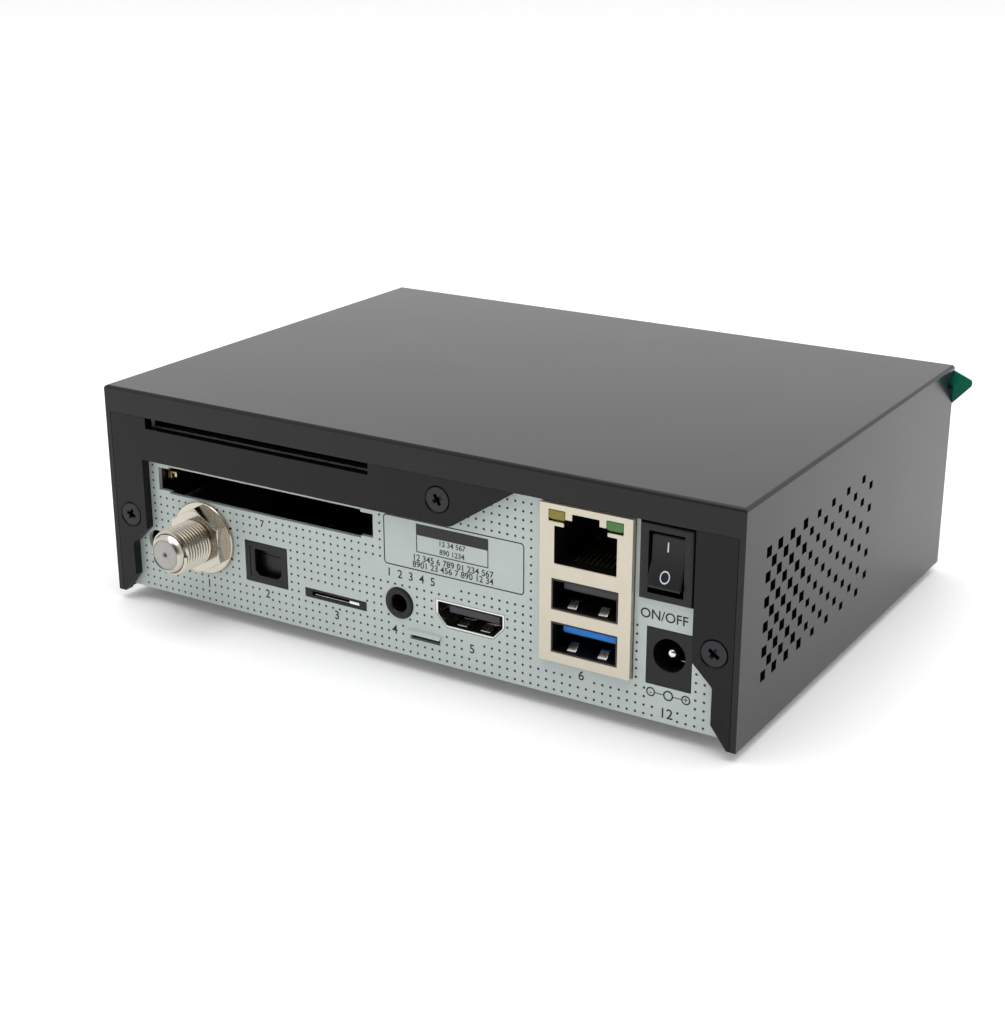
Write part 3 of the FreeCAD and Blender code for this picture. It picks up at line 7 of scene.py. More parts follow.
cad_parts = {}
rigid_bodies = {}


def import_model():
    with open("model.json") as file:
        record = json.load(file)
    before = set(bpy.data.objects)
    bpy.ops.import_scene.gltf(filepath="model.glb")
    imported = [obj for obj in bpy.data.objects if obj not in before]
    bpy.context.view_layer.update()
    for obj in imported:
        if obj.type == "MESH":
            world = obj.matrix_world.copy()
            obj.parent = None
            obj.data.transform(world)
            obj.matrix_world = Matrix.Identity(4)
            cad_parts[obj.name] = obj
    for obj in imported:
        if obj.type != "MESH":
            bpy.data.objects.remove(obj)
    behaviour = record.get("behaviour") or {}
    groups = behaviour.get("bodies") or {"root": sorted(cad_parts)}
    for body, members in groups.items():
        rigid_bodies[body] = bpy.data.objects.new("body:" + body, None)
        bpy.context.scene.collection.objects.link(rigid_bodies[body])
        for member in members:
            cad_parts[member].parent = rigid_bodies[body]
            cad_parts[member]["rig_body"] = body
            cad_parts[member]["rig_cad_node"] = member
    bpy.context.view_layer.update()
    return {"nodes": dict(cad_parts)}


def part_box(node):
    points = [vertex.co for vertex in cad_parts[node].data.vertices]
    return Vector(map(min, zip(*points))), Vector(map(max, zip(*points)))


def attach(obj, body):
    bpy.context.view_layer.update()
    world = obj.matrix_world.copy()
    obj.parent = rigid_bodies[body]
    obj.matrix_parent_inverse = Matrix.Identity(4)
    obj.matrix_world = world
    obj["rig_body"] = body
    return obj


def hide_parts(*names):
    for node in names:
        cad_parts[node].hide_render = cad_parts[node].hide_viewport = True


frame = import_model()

# Satellite receiver: the looks of every surface, in metres.
# +X is to the right when facing the connectors, -Y points out of them, +Z is up.

MM = 0.001

# Camera and room
CAMERA_PLACE = Vector((0.1825, -0.3101, 0.1473))
CAMERA_AIM = Vector((-0.4934, 0.7999, -0.3413))
SENSOR = 36.0
LENS = 61.95
FLOOR_SIZE = 6.0
FLOOR_LIFT = 0.09
ROOM_DARK_SIDE = (0.41, -0.87, 0.27)
ROOM_BRIGHT = (1.04, 1.04, 1.04, 1.0)
ROOM_DARK = (0.10, 0.085, 0.07, 1.0)

# Levels and places taken from the frame
COVER_LOW, COVER_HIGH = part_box("top_cover")
FRAME_LOW, FRAME_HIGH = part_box("rear_frame")
PANEL_FACE = FRAME_HIGH.y
BODY = "receiver"


def middle(node):
    low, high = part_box(node)
    return (low + high) / 2


# Modelling tools


def deselect_all():
    bpy.ops.object.select_all(action="DESELECT")


def select_only(piece):
    deselect_all()
    piece.select_set(True)
    bpy.context.view_layer.objects.active = piece


def place_in_mesh(piece):
    """Moves a piece's place, turn and scale into its mesh."""
    select_only(piece)
    bpy.ops.object.transform_apply(location=True, rotation=True, scale=True)


def named(piece, name):
    piece.name = name
    piece.data.name = name
    return piece


def edit(piece, mode="FACE"):
    """Opens a piece for editing with the parts that were picked in code."""
    select_only(piece)
    bpy.ops.object.mode_set(mode="EDIT")
    bpy.ops.mesh.select_mode(type=mode)


def done():
    bpy.ops.object.mode_set(mode="OBJECT")


def unpick(mesh):
    for parts in (mesh.polygons, mesh.edges, mesh.vertices):
        for part in parts:
            part.select = False


def pick_faces(piece, test):
    """Picks the faces whose centre and normal pass the test."""
    mesh = piece.data
    unpick(mesh)
    for face in mesh.polygons:
        if test(face.center, face.normal):
            face.select = True


def pick_edges(piece, test):
    """Picks the edges whose two ends pass the test."""
    mesh = piece.data
    unpick(mesh)
    for edge in mesh.edges:
        ends = [mesh.vertices[index].co for index in edge.vertices]
        if test(*ends):
            edge.select = True


def near(value, wanted):
    return abs(value - wanted) < 0.00002


def modify(piece, kind, **settings):
    """Adds one modifier and applies it."""
    select_only(piece)
    modifier = piece.modifiers.new(kind, kind)
    for key, value in settings.items():
        setattr(modifier, key, value)
    bpy.ops.object.modifier_apply(modifier=modifier.name)
    return piece


def add_block(name, low, high):
    """A block between two corners."""
    deselect_all()
    low = Vector(low)
    high = Vector(high)
    bpy.ops.mesh.primitive_cube_add(size=1, location=(low + high) / 2)
    piece = bpy.context.object
    piece.scale = high - low
    place_in_mesh(piece)
    return named(piece, name)


def chain(name, points):
    """A line of edges through points, drawn out from a single vertex."""
    deselect_all()
    bpy.ops.mesh.primitive_plane_add(size=MM, location=points[0])
    piece = bpy.context.object
    place_in_mesh(piece)
    bpy.ops.object.mode_set(mode="EDIT")
    bpy.ops.mesh.select_mode(type="VERT")
    bpy.ops.mesh.select_all(action="SELECT")
    bpy.ops.mesh.merge(type="CENTER")
    for last, point in zip(points, points[1:]):
        step = Vector(point) - Vector(last)
        bpy.ops.mesh.extrude_region_move(TRANSFORM_OT_translate={"value": step})
    done()
    return named(piece, name)


def add_prism(name, points, push):
    """A flat outline filled and pushed along a vector."""
    piece = chain(name, points)
    edit(piece, "VERT")
    bpy.ops.mesh.select_all(action="SELECT")
    bpy.ops.mesh.edge_face_add()
    bpy.ops.mesh.select_mode(type="FACE")
    bpy.ops.mesh.select_all(action="SELECT")
    bpy.ops.mesh.extrude_region_move(TRANSFORM_OT_translate={"value": push})
    face_outwards()
    done()
    return piece


def face_outwards():
    bpy.ops.mesh.select_all(action="SELECT")
    bpy.ops.mesh.remove_doubles(threshold=0.000002)
    bpy.ops.mesh.normals_make_consistent(inside=False)


def add_turned(name, centre, profile, steps=64):
    """A round piece about a line along Y: the profile is radius and y, in millimetres."""
    x, z = centre
    piece = chain(name, [(x + radius * MM, y * MM, z) for radius, y in profile])
    edit(piece, "EDGE")
    bpy.ops.mesh.select_all(action="SELECT")
    bpy.ops.mesh.spin(steps=steps, angle=2 * pi, center=(x, 0, z), axis=(0, 1, 0))
    face_outwards()
    done()
    return piece


def round_edges(piece, width, segments=3, angle=30.0):
    """Rounds the sharp edges and evens the shading of the flats."""
    modify(piece, "BEVEL", width=width, segments=segments, limit_method="ANGLE", angle_limit=radians(angle))
    return even_shading(piece)


def even_shading(piece, angle=35.0):
    select_only(piece)
    bpy.ops.object.shade_smooth_by_angle(angle=radians(angle))
    modify(piece, "WEIGHTED_NORMAL", keep_sharp=True)
    return piece


def cut(piece, *cutters):
    """Takes each cutter's shape out of a piece."""
    for cutter in cutters:
        modify(piece, "BOOLEAN", operation="DIFFERENCE", solver="EXACT", object=cutter)
        bpy.data.objects.remove(cutter)
    return piece


def join(name, pieces):
    deselect_all()
    for piece in pieces:
        piece.select_set(True)
    bpy.context.view_layer.objects.active = pieces[0]
    bpy.ops.object.join()
    return named(bpy.context.object, name)


def copy_of(node, name):
    """A new piece with a node's outline, its loose triangles merged into flats."""
    piece = frame["nodes"][node].copy()
    piece.data = piece.data.copy()
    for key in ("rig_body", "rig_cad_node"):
        del piece[key]
    piece.parent = None
    piece.matrix_world = Matrix.Identity(4)
    bpy.context.scene.collection.objects.link(piece)
    piece.data.materials.clear()
    edit(piece, "VERT")
    bpy.ops.mesh.select_all(action="SELECT")
    bpy.ops.mesh.customdata_custom_splitnormals_clear()
    bpy.ops.mesh.remove_doubles(threshold=0.000002)
    bpy.ops.mesh.dissolve_limited(angle_limit=radians(1.0))
    done()
    return named(piece, name)


def fit(piece, slot, material, *nodes, body=BODY):
    """Gives a finished piece its material and body, and the nodes that it stands for. The slot is not used."""
    piece.data.materials.clear()
    piece.data.materials.append(material)
    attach(piece, body)
    if nodes:
        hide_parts(*nodes)
    return piece


# Materials


class Wire:
    """A socket of a material; arithmetic on it adds Math nodes."""

    def __init__(self, finish, socket):
        self.finish = finish
        self.socket = socket

    def maths(self, operation, *values):
        node = self.finish.node("ShaderNodeMath", {"operation": operation}, dict(enumerate(values)))
        return Wire(self.finish, node.outputs[0])

    def __add__(self, other):
        return self.maths("ADD", self, other)

    def __radd__(self, other):
        return self.maths("ADD", other, self)

    def __sub__(self, other):
        return self.maths("SUBTRACT", self, other)

    def __rsub__(self, other):
        return self.maths("SUBTRACT", other, self)

    def __mul__(self, other):
        return self.maths("MULTIPLY", self, other)

    def __truediv__(self, other):
        return self.maths("DIVIDE", self, other)

    def __gt__(self, other):
        return self.maths("GREATER_THAN", self, other)

    def wave(self):
        return self.maths("SINE", self)


class Finish:
    """A material under construction."""

    def __init__(self, name):
        self.material = bpy.data.materials.new(name)
        self.material.use_nodes = True
        self.tree = self.material.node_tree
        self.tree.nodes.clear()
        self.place = self.node("ShaderNodeTexCoord", {}, {}).outputs["Object"]

    def node(self, kind, settings, values):
        """Adds a node, makes its settings, then feeds its sockets."""
        made = self.tree.nodes.new(kind)
        for key, value in settings.items():
            setattr(made, key, value)
        for key, value in values.items():
            self.feed(made.inputs[key], value)
        return made

    def feed(self, socket, value):
        if isinstance(value, Wire):
            value = value.socket
        if isinstance(value, bpy.types.NodeSocket):
            self.tree.links.new(value, socket)
        else:
            socket.default_value = value

    def axis(self, name):
        split = self.node("ShaderNodeSeparateXYZ", {}, {0: self.place})
        return Wire(self, split.outputs[name])

    def noise(self, scale, detail=3.0, stretch=(1, 1, 1)):
        """Noise of a given count per metre, from 0 to 1."""
        spread = self.node("ShaderNodeMapping", {}, {"Vector": self.place, "Scale": stretch})
        values = {"Vector": spread.outputs[0], "Scale": scale, "Detail": detail}
        made = self.node("ShaderNodeTexNoise", {}, values)
        return Wire(self, made.outputs["Fac"])

    def blend(self, share, first, second):
        """A colour that goes from the first to the second as share goes from 0 to 1."""
        made = self.node("ShaderNodeMix", {"data_type": "RGBA"}, {0: share, 6: first, 7: second})
        return made.outputs[2]

    def bump(self, height, strength, distance):
        made = self.node("ShaderNodeBump", {}, {"Height": height, "Strength": strength, "Distance": distance})
        return made.outputs[0]

    def close(self, **values):
        """Ends the material with its shader; words name the shader's sockets."""
        sockets = {key.replace("_", " "): value for key, value in values.items()}
        shader = self.node("ShaderNodeBsdfPrincipled", {}, sockets)
        self.node("ShaderNodeOutputMaterial", {}, {"Surface": shader.outputs[0]})
        return self.material


def tone(red, green, blue):
    """A colour from its values on screen, 0 to 255."""
    def linear(value):
        share = value / 255
        return share / 12.92 if share < 0.04045 else ((share + 0.055) / 1.055) ** 2.4
    return (linear(red), linear(green), linear(blue), 1.0)


def paint(name, colour, roughness, grain=9000.0, depth=0.02, shift=0.16, coat=0.0, index=1.45):
    """Even paint or moulded plastic with a fine grain and a slow drift in tone."""
    finish = Finish(name)
    drift = finish.noise(60.0)
    fine = finish.noise(grain, 2.0)
    darker = tuple(value * (1 - shift) for value in colour[:3]) + (1.0,)
    lighter = tuple(min(1.0, value * (1 + shift)) for value in colour[:3]) + (1.0,)
    return finish.close(
        Base_Color=finish.blend(drift, darker, lighter),
        Roughness=roughness + (fine - 0.5) * 0.06 + (drift - 0.5) * 0.05,
        Normal=finish.bump(fine, depth, 0.0001),
        Coat_Weight=coat,
        IOR=index,
    )


def metal(name, colour, roughness, stretch=(1, 1, 1), grain=5000.0, depth=0.03, shift=0.12):
    """Bare or plated metal with fine marks, drawn out along one axis by stretch."""
    finish = Finish(name)
    marks = finish.noise(grain, 3.0, stretch)
    stain = finish.noise(250.0)
    darker = tuple(value * (1 - shift) for value in colour[:3]) + (1.0,)
    return finish.close(
        Base_Color=finish.blend(stain, darker, colour),
        Metallic=1.0,
        Roughness=roughness + (marks - 0.5) * 0.12 + (stain - 0.5) * 0.08,
        Normal=finish.bump(marks, depth, 0.0001),
    )


def glow(name, colour, strength):
    """Tinted lens of a small light, with a faint glow of its own."""
    finish = Finish(name)
    cloud = finish.noise(900.0)
    darker = tuple(value * 0.75 for value in colour[:3]) + (1.0,)
    body = finish.blend(cloud, darker, colour)
    return finish.close(
        Base_Color=body, Roughness=0.18 + cloud * 0.1, Emission_Color=body, Emission_Strength=strength)


def board_green():
    """Lacquered board: darker ground, paler tracks and small plated holes."""
    finish = Finish("board_green")
    x = finish.axis("X")
    y = finish.axis("Y")
    pitch = 0.00254
    across = ((x / pitch) * 2 * pi).wave()
    along = ((y / pitch) * 2 * pi).wave()
    patch = finish.noise(140.0, 1.0) > 0.52
    tracks = (across > 0.62) * patch + (along > 0.62) * (1 - patch)
    holes = (across * along) > 0.93
    green = finish.blend(tracks * 0.8, tone(10, 52, 34), tone(24, 92, 58))
    return finish.close(
        Base_Color=finish.blend(holes, green, tone(190, 170, 110)),
        Roughness=0.3 + finish.noise(3000.0) * 0.1,
        Normal=finish.bump(tracks, 0.25, 0.00005),
    )


def panel_paint():
    """Pale printed steel with a faint sparkle in its coat."""
    finish = Finish("panel_paint")
    cloud = finish.noise(70.0)
    sparkle = finish.noise(14000.0, 1.0)
    base = finish.blend(cloud, tone(178, 189, 185), tone(190, 200, 197))
    return finish.close(
        Base_Color=finish.blend((sparkle > 0.62) * 0.12, base, tone(226, 232, 230)),
        Metallic=0.15,
        Roughness=0.42 + (sparkle - 0.5) * 0.2,
        Normal=finish.bump(sparkle, 0.03, 0.00005),
    )


COVER_BLACK = paint("cover_black", tone(16, 16, 17), 0.2, 7000.0, 0.015, index=1.37)
FRAME_BLACK = paint("frame_black", tone(12, 10, 13), 0.3, 7000.0, 0.03, index=1.32)
PANEL_PAINT = panel_paint()
PRINT_BLACK = paint("print_black", tone(30, 31, 33), 0.5)
TRAY_STEEL = metal("tray_steel", tone(150, 152, 155), 0.34, (1, 12, 1))
SCREW_BLACK = metal("screw_black", tone(58, 58, 60), 0.3, (1, 1, 1), 8000.0)
RUBBER = paint("rubber", tone(26, 26, 26), 0.75, 4000.0, 0.25)
BOARD = board_green()
NICKEL = metal("nickel", tone(199, 193, 181), 0.2, grain=1500.0, depth=0.003)
CAN_STEEL = metal("can_steel", tone(203, 195, 179), 0.3, (1, 1, 8))
SPRING_STEEL = metal("spring_steel", tone(232, 230, 226), 0.16)
INSULATOR_WHITE = paint("insulator_white", tone(172, 171, 168), 0.25, 3000.0, 0.05, 0.1)
SOCKET_BLACK = paint("socket_black", tone(14, 14, 15), 0.38, 6000.0, 0.08, index=1.4)
# Painted shade: a dull near black put on parts deep in the card slit and in the aerial socket's hole, standing
# in for the shade there
PAINTED_SHADE_BLACK = paint("painted_shade_black", tone(4, 4, 4), 0.7, 6000.0, 0.05, index=1.2)
TONGUE_BLUE = paint("tongue_blue", tone(0, 128, 228), 0.35)
TONGUE_GREY = paint("tongue_grey", tone(62, 62, 66), 0.4)
GOLD = metal("gold", tone(240, 212, 150), 0.3)
LINER_STEEL = metal("liner_steel", tone(74, 72, 70), 0.4)
# Painted shade: the card reader's contacts are darkened to stand in for the shade inside the card slit
PAINTED_SHADE_PINS = metal("painted_shade_pins", tone(24, 22, 20), 0.5)
LIGHT_YELLOW = glow("light_yellow", tone(136, 124, 30), 0.06)
LIGHT_GREEN = glow("light_green", tone(62, 122, 48), 0.06)
SWITCH_BLACK = paint("switch_black", tone(13, 13, 14), 0.32, 6000.0, 0.06, index=1.4)
MARK_WHITE = paint("mark_white", tone(205, 215, 228), 0.45)
WIRE_RED = paint("wire_red", tone(150, 24, 20), 0.4)
PLUG_WHITE = paint("plug_white", tone(225, 222, 210), 0.4)
FIN_BLACK = paint("fin_black", tone(30, 30, 32), 0.4, 5000.0, 0.1)
CHIP_BLACK = paint("chip_black", tone(34, 34, 36), 0.55, 9000.0, 0.2)
SLEEVE_BLACK = paint("sleeve_black", tone(16, 16, 20), 0.18)
FRONT_BLACK = paint("front_black", tone(18, 18, 19), 0.16, 5000.0, 0.02, coat=0.3)
WINDOW_SMOKE = paint("window_smoke", tone(12, 10, 12), 0.06, 5000.0, 0.005)
DISPLAY_GREY = paint("display_grey", tone(60, 62, 60), 0.3)
FILM_GREEN = paint("film_green", tone(0, 112, 88), 0.3, 3000.0, 0.03)


def film_clear():
    """Thin clear film, seen by its gloss and a faint haze."""
    finish = Finish("film_clear")
    haze = finish.noise(300.0)
    return finish.close(
        Base_Color=finish.blend(haze, tone(210, 225, 222), tone(235, 240, 240)),
        Roughness=0.08 + haze * 0.08,
        Alpha=0.035 + haze * 0.03,
    )


FILM_CLEAR = film_clear()

# Finishes of the nodes that are shown as they are
NODE_FINISHES = {
    "base_tray": TRAY_STEEL,
    "board_posts": TRAY_STEEL,
    "board_screws": TRAY_STEEL,
    "main_board": BOARD,
    "tuner_can": CAN_STEEL,
    "network_contacts": GOLD,
    "network_stack_body": SOCKET_BLACK,
    "switch_terminals": SPRING_STEEL,
    "switch_wires": WIRE_RED,
    "switch_plug": PLUG_WHITE,
    "module_guide": SOCKET_BLACK,
    "module_header": SOCKET_BLACK,
    "header_pins": GOLD,
    # Painted shade: the card reader and its contacts are coloured near black so the card slit reads as shade
    "card_reader": PAINTED_SHADE_BLACK,
    "reader_pins": PAINTED_SHADE_PINS,
    "main_processor": CHIP_BLACK,
    "heatsink": FIN_BLACK,
    "memory_chips": CHIP_BLACK,
    "power_coils": CHIP_BLACK,
    "tact_switch": SOCKET_BLACK,
    "front_board": BOARD,
    "digit_display": DISPLAY_GREY,
    "remote_eye": WINDOW_SMOKE,
    "protective_film": FILM_CLEAR,
}
for node_name, node_finish in NODE_FINISHES.items():
    node_mesh = frame["nodes"][node_name].data
    node_mesh.materials.clear()
    node_mesh.materials.append(node_finish)

# Cover and frame

SHEET = 0.0012
BEND = 0.0007
LIP = 0.0421
NOTCH_LOW = 0.0427
NOTCH_HIGH = 0.0451
NOTCH_DEPTH = 0.0037
VENT_ROWS = 11
VENT_COLUMNS = 16
VENT_TOP = 0.0367
VENT_ROW_STEP = 0.002369
VENT_FIRST = 0.0103
VENT_STEP = 0.00233
VENT_GROWTH = 0.0000652
VENT_SIZES = ((0.00215, 0.00198), (0.0018, 0.00152))
VENT_FULL_COLUMNS = 7


def vent_cutter():
    """One row after another of holes in a staggered grid that spreads towards the front."""
    blocks = []
    for row in range(VENT_ROWS):
        z = VENT_TOP - row * VENT_ROW_STEP
        for column in range(row % 2, VENT_COLUMNS, 2):
            y = COVER_LOW.y + VENT_FIRST + VENT_STEP * column + VENT_GROWTH * column**2
            length, height = VENT_SIZES[0] if column < VENT_FULL_COLUMNS else VENT_SIZES[1]
            corner = Vector((COVER_HIGH.x + BEND, length / 2, height / 2))
            centre = Vector((0, y, z))
            blocks.append(add_block("vent", centre - corner, centre + corner))
    return join("vents", blocks)


def cover():
    piece = add_block("cover_skin", COVER_LOW, COVER_HIGH)
    top = COVER_HIGH.z

    def is_fold(first, second):
        if not (near(first.z, top) and near(second.z, top)):
            return False
        at_side = near(first.x, second.x)
        at_rear = near(first.y, COVER_LOW.y) and near(second.y, COVER_LOW.y)
        return at_side or at_rear

    pick_edges(piece, is_fold)
    edit(piece, "EDGE")
    bpy.ops.mesh.bevel(offset=BEND, segments=8, affect="EDGES")
    done()
    inner = Vector((COVER_HIGH.x - SHEET, 0, 0))
    past = 0.005
    hollow = add_block("hollow", (-inner.x, COVER_LOW.y + SHEET, -past),
                       (inner.x, COVER_HIGH.y + past, top - SHEET))
    doorway = add_block("doorway", (-inner.x, COVER_LOW.y - past, -past),
                        (inner.x, COVER_LOW.y + past, LIP))
    notch = add_block("notch", (COVER_LOW.x - past, COVER_HIGH.y - NOTCH_DEPTH, NOTCH_LOW),
                      (COVER_HIGH.x + past, COVER_HIGH.y + past, NOTCH_HIGH))
    cut(piece, hollow, doorway, notch, vent_cutter())
    even_shading(piece, 25.0)
    return fit(piece, "black_cover", COVER_BLACK, "top_cover")


def rear_frame():
    piece = copy_of("rear_frame", "frame_plate")
    round_edges(piece, 0.00018, 2)
    return fit(piece, "black_frame", FRAME_BLACK, "rear_frame")


LOUVRE_X = 0.00575
LOUVRE_MIDDLE = 0.00785
LOUVRE_HALF = 0.0038
# Distance out of the sheet and height over the slot's middle
LOUVRE_LIP = (
    (0.00002, 0.00125), (-0.0005, 0.0011), (-0.00086, 0.0008),
    (-0.00088, 0.0005), (-0.0006, 0.0008), (0.00002, 0.0009),
)
OLD_HOOD_LOW = (-0.006, -0.002, -0.002)
OLD_HOOD_HIGH = (0.006, 0.0, 0.003)


def rear_panel():
    """Printed sheet; the hood over its small slot is a thin curved lip."""
    piece = copy_of("rear_panel", "panel_sheet")
    middle_place = Vector((LOUVRE_X, PANEL_FACE, LOUVRE_MIDDLE))
    old_hood = add_block("old_hood", middle_place + Vector(OLD_HOOD_LOW), middle_place + Vector(OLD_HOOD_HIGH))
    cut(piece, old_hood)
    outline = [middle_place + Vector((-LOUVRE_HALF, out, up)) for out, up in LOUVRE_LIP]
    lip = add_prism("lip", outline, (2 * LOUVRE_HALF, 0, 0))
    piece = join("panel_sheet", [piece, lip])
    even_shading(piece)
    return fit(piece, "pale_steel", PANEL_PAINT, "rear_panel")


# Countersunk screws with a cross recess

SCREW_PLACES = ((-0.0675, 0.02), (0.0102, 0.0377), (0.0675, 0.02))
SCREW_TURNS = (20.0, 58.0, 35.0)
CROSS_ARM = (0.00145, 0.00042)
CROSS_DEPTH = 0.0013
# Radius and y, in millimetres
SCREW_PROFILE = (
    (0.0, -53.96), (2.1, -53.98), (2.42, -53.93), (2.55, -53.72),
    (1.5, -52.7), (1.45, -47.6), (0.0, -47.5),
)


def cross_cutter(x, z, turn):
    """Two crossed wedges that narrow towards the bottom of the recess."""
    arms = []
    for quarter in (0, 90):
        reach, half = CROSS_ARM
        arm = add_block("arm", (-reach, -0.0005, -half), (reach, CROSS_DEPTH, half))
        pick_faces(arm, lambda centre, normal: normal.y > 0.9)
        edit(arm)
        bpy.ops.transform.resize(value=(0.35, 1, 0.7), center_override=(0, CROSS_DEPTH, 0))
        done()
        arm.rotation_euler = (0, radians(quarter + turn), 0)
        arm.location = (x, FRAME_LOW.y, z)
        place_in_mesh(arm)
        arms.append(arm)
    return arms


def screws():
    heads = []
    for (x, z), turn in zip(SCREW_PLACES, SCREW_TURNS):
        head = add_turned("screw_head", (x, z), SCREW_PROFILE, 48)
        cut(head, *cross_cutter(x, z, turn))
        heads.append(head)
    piece = join("screw_heads", heads)
    even_shading(piece, 28.0)
    return fit(piece, "screw_black", SCREW_BLACK, "cover_screws")


# Aerial socket

AERIAL = (middle("tuner_barrel").x, middle("tuner_barrel").z)
THREAD_START = -0.0633
THREAD_PITCH = 0.000794
THREAD_TURNS = 10
THREAD_ROOT = 4.2 * MM
THREAD_CREST = 4.74 * MM
# Profiles of round parts: radius and y, in millimetres
BARREL_PROFILE = (
    (3.15, -57.0), (3.15, -64.2), (3.3, -64.3), (3.72, -63.9), (3.9, -63.6), (4.0, -63.3),
    (4.22, -63.0), (4.26, -55.4), (4.55, -55.3), (4.55, -50.62), (3.6, -50.62), (3.15, -57.0),
)
INSULATOR_PROFILE = (
    (0.0, -61.0), (0.48, -61.0), (0.48, -64.1), (0.62, -64.32), (0.85, -64.34), (1.1, -64.2),
    (2.2, -64.18), (2.9, -64.22), (3.1, -64.1), (3.1, -56.8), (0.0, -56.8),
)
HOLE_SHADE_PROFILE = ((0.0, -63.2), (0.46, -63.2), (0.46, -61.2), (0.0, -61.2))
WASHER_PROFILE = (
    (4.62, -52.78), (4.62, -52.02), (7.66, -52.02), (7.76, -52.15),
    (7.76, -52.62), (7.6, -52.79), (4.62, -52.78),
)


def aerial_barrel():
    x, z = AERIAL
    core = add_turned("barrel_core", AERIAL, BARREL_PROFILE)
    ridge = [(THREAD_ROOT, 0, 0), (THREAD_CREST, THREAD_PITCH * 0.42, 0),
             (THREAD_CREST, THREAD_PITCH * 0.56, 0), (THREAD_ROOT, THREAD_PITCH, 0)]
    thread = chain("thread", ridge)
    modify(thread, "SCREW", axis="Y", angle=2 * pi, screw_offset=THREAD_PITCH, iterations=THREAD_TURNS,
           steps=48, render_steps=48, use_merge_vertices=True, use_smooth_shade=True)
    thread.location = (x, THREAD_START, z)
    place_in_mesh(thread)
    edit(thread, "VERT")
    face_outwards()
    done()
    piece = join("aerial_barrel", [core, thread])
    even_shading(piece, 40.0)
    return fit(piece, "nickel", NICKEL, "tuner_barrel")


def aerial_insulator():
    """Milky bushing, flush with the nose, with a raised rim about the hole for the wire."""
    piece = add_turned("aerial_insulator", AERIAL, INSULATOR_PROFILE)
    even_shading(piece, 40.0)
    fit(piece, "insulator", INSULATOR_WHITE, "tuner_insulator")
    # Painted shade: a near-black plug inside the hole for the wire stands in for the shade down the hole
    hole_shade = add_turned("aerial_hole_shade", AERIAL, HOLE_SHADE_PROFILE, 24)
    return fit(hole_shade, "socket_black", PAINTED_SHADE_BLACK)


def aerial_washer():
    piece = add_turned("aerial_washer", AERIAL, WASHER_PROFILE, 96)
    even_shading(piece, 40.0)
    return fit(piece, "nickel", NICKEL, "tuner_washer")


def aerial_nut():
    piece = copy_of("tuner_nut", "aerial_nut")
    round_edges(piece, 0.00012, 2, 25.0)
    return fit(piece, "nickel", NICKEL, "tuner_nut")


# Optical socket and shutter

OPTICAL_X = middle("optical_socket").x + 0.00037
OPTICAL_Z = 0.0151
OPENING_HALF = (0.00335, 0.00285)
OPENING_CORNER = 0.0010


def optical_socket():
    """Housing, and a thin front plate whose opening has its lower corners cut off."""
    housing = copy_of("optical_socket", "optical_housing")
    half_x, half_z = OPENING_HALF
    outer = (half_x + 0.0011, half_z + 0.0008)
    plate = add_block("plate", (OPTICAL_X - outer[0], PANEL_FACE + 0.00005, OPTICAL_Z - outer[1]),
                      (OPTICAL_X + outer[0], PANEL_FACE + 0.0006, OPTICAL_Z + outer[1]))
    left = OPTICAL_X - half_x
    right = OPTICAL_X + half_x
    low = OPTICAL_Z - half_z
    high = OPTICAL_Z + half_z
    corners = (
        (left, high), (left, low + OPENING_CORNER), (left + OPENING_CORNER, low),
        (right - OPENING_CORNER, low), (right, low + OPENING_CORNER), (right, high),
    )
    mouth = add_prism("mouth", [(x, PANEL_FACE - 0.002, z) for x, z in corners], (0, 0.004, 0))
    cut(plate, mouth)
    piece = join("optical_housing", [housing, plate])
    round_edges(piece, 0.00015, 2)
    return fit(piece, "socket_black", SOCKET_BLACK, "optical_socket")


def optical_shutter():
    """Leaf with two raised bars across its face."""
    low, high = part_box("optical_shutter")
    leaf = copy_of("optical_shutter", "shutter_leaf")
    bars = []
    for share in (0.68, 0.93):
        z = low.z + (high.z - low.z) * share
        bars.append(add_block("bar", (low.x + 0.0022, low.y - 0.00018, z - 0.0002),
                              (high.x - 0.0022, low.y + 0.0001, z + 0.0002)))
    piece = join("shutter_leaf", [leaf] + bars)
    round_edges(piece, 0.00008, 2)
    return fit(piece, "socket_black", SWITCH_BLACK, "optical_shutter", body="shutter")


# Module slot

SLOT_CONTACT = (-0.0593, -0.0495, 0.0295)


def slot_contact():
    """A pressed gold leaf at the upper left of the module slot."""
    x, y, z = SLOT_CONTACT
    arm = add_block("contact_arm", (x - 0.0012, y, z - 0.0002), (x + 0.0012, y + 0.006, z + 0.0002))
    hook = add_block("contact_hook", (x - 0.0012, y, z - 0.0014), (x - 0.0002, y + 0.0003, z + 0.0002))
    lip = add_block("contact_lip", (x + 0.0004, y, z - 0.0009), (x + 0.0012, y + 0.0003, z + 0.0002))
    piece = join("slot_contact", [arm, hook, lip])
    round_edges(piece, 0.00006, 2)
    return fit(piece, "gold", GOLD)


# Card slot, remote eye socket and video socket


def memory_slot():
    low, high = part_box("memory_card_slot")
    rim = copy_of("memory_card_slot", "card_rim")
    round_edges(rim, 0.0001, 2)
    fit(rim, "socket_black", SOCKET_BLACK, "memory_card_slot")
    tray = add_block("card_tray", (low.x + 0.0021, low.y + 0.0004, low.z + 0.00048),
                     (high.x - 0.0021, high.y - 0.002, low.z + 0.0007))
    round_edges(tray, 0.00005, 1)
    fit(tray, "stack_nickel", SPRING_STEEL)
    latch = add_block("card_latch", (high.x - 0.0042, low.y + 0.00012, low.z + 0.0006),
                      (high.x - 0.0018, low.y + 0.0028, low.z + 0.00125))
    round_edges(latch, 0.0001, 2)
    fit(latch, "stack_nickel", SPRING_STEEL)


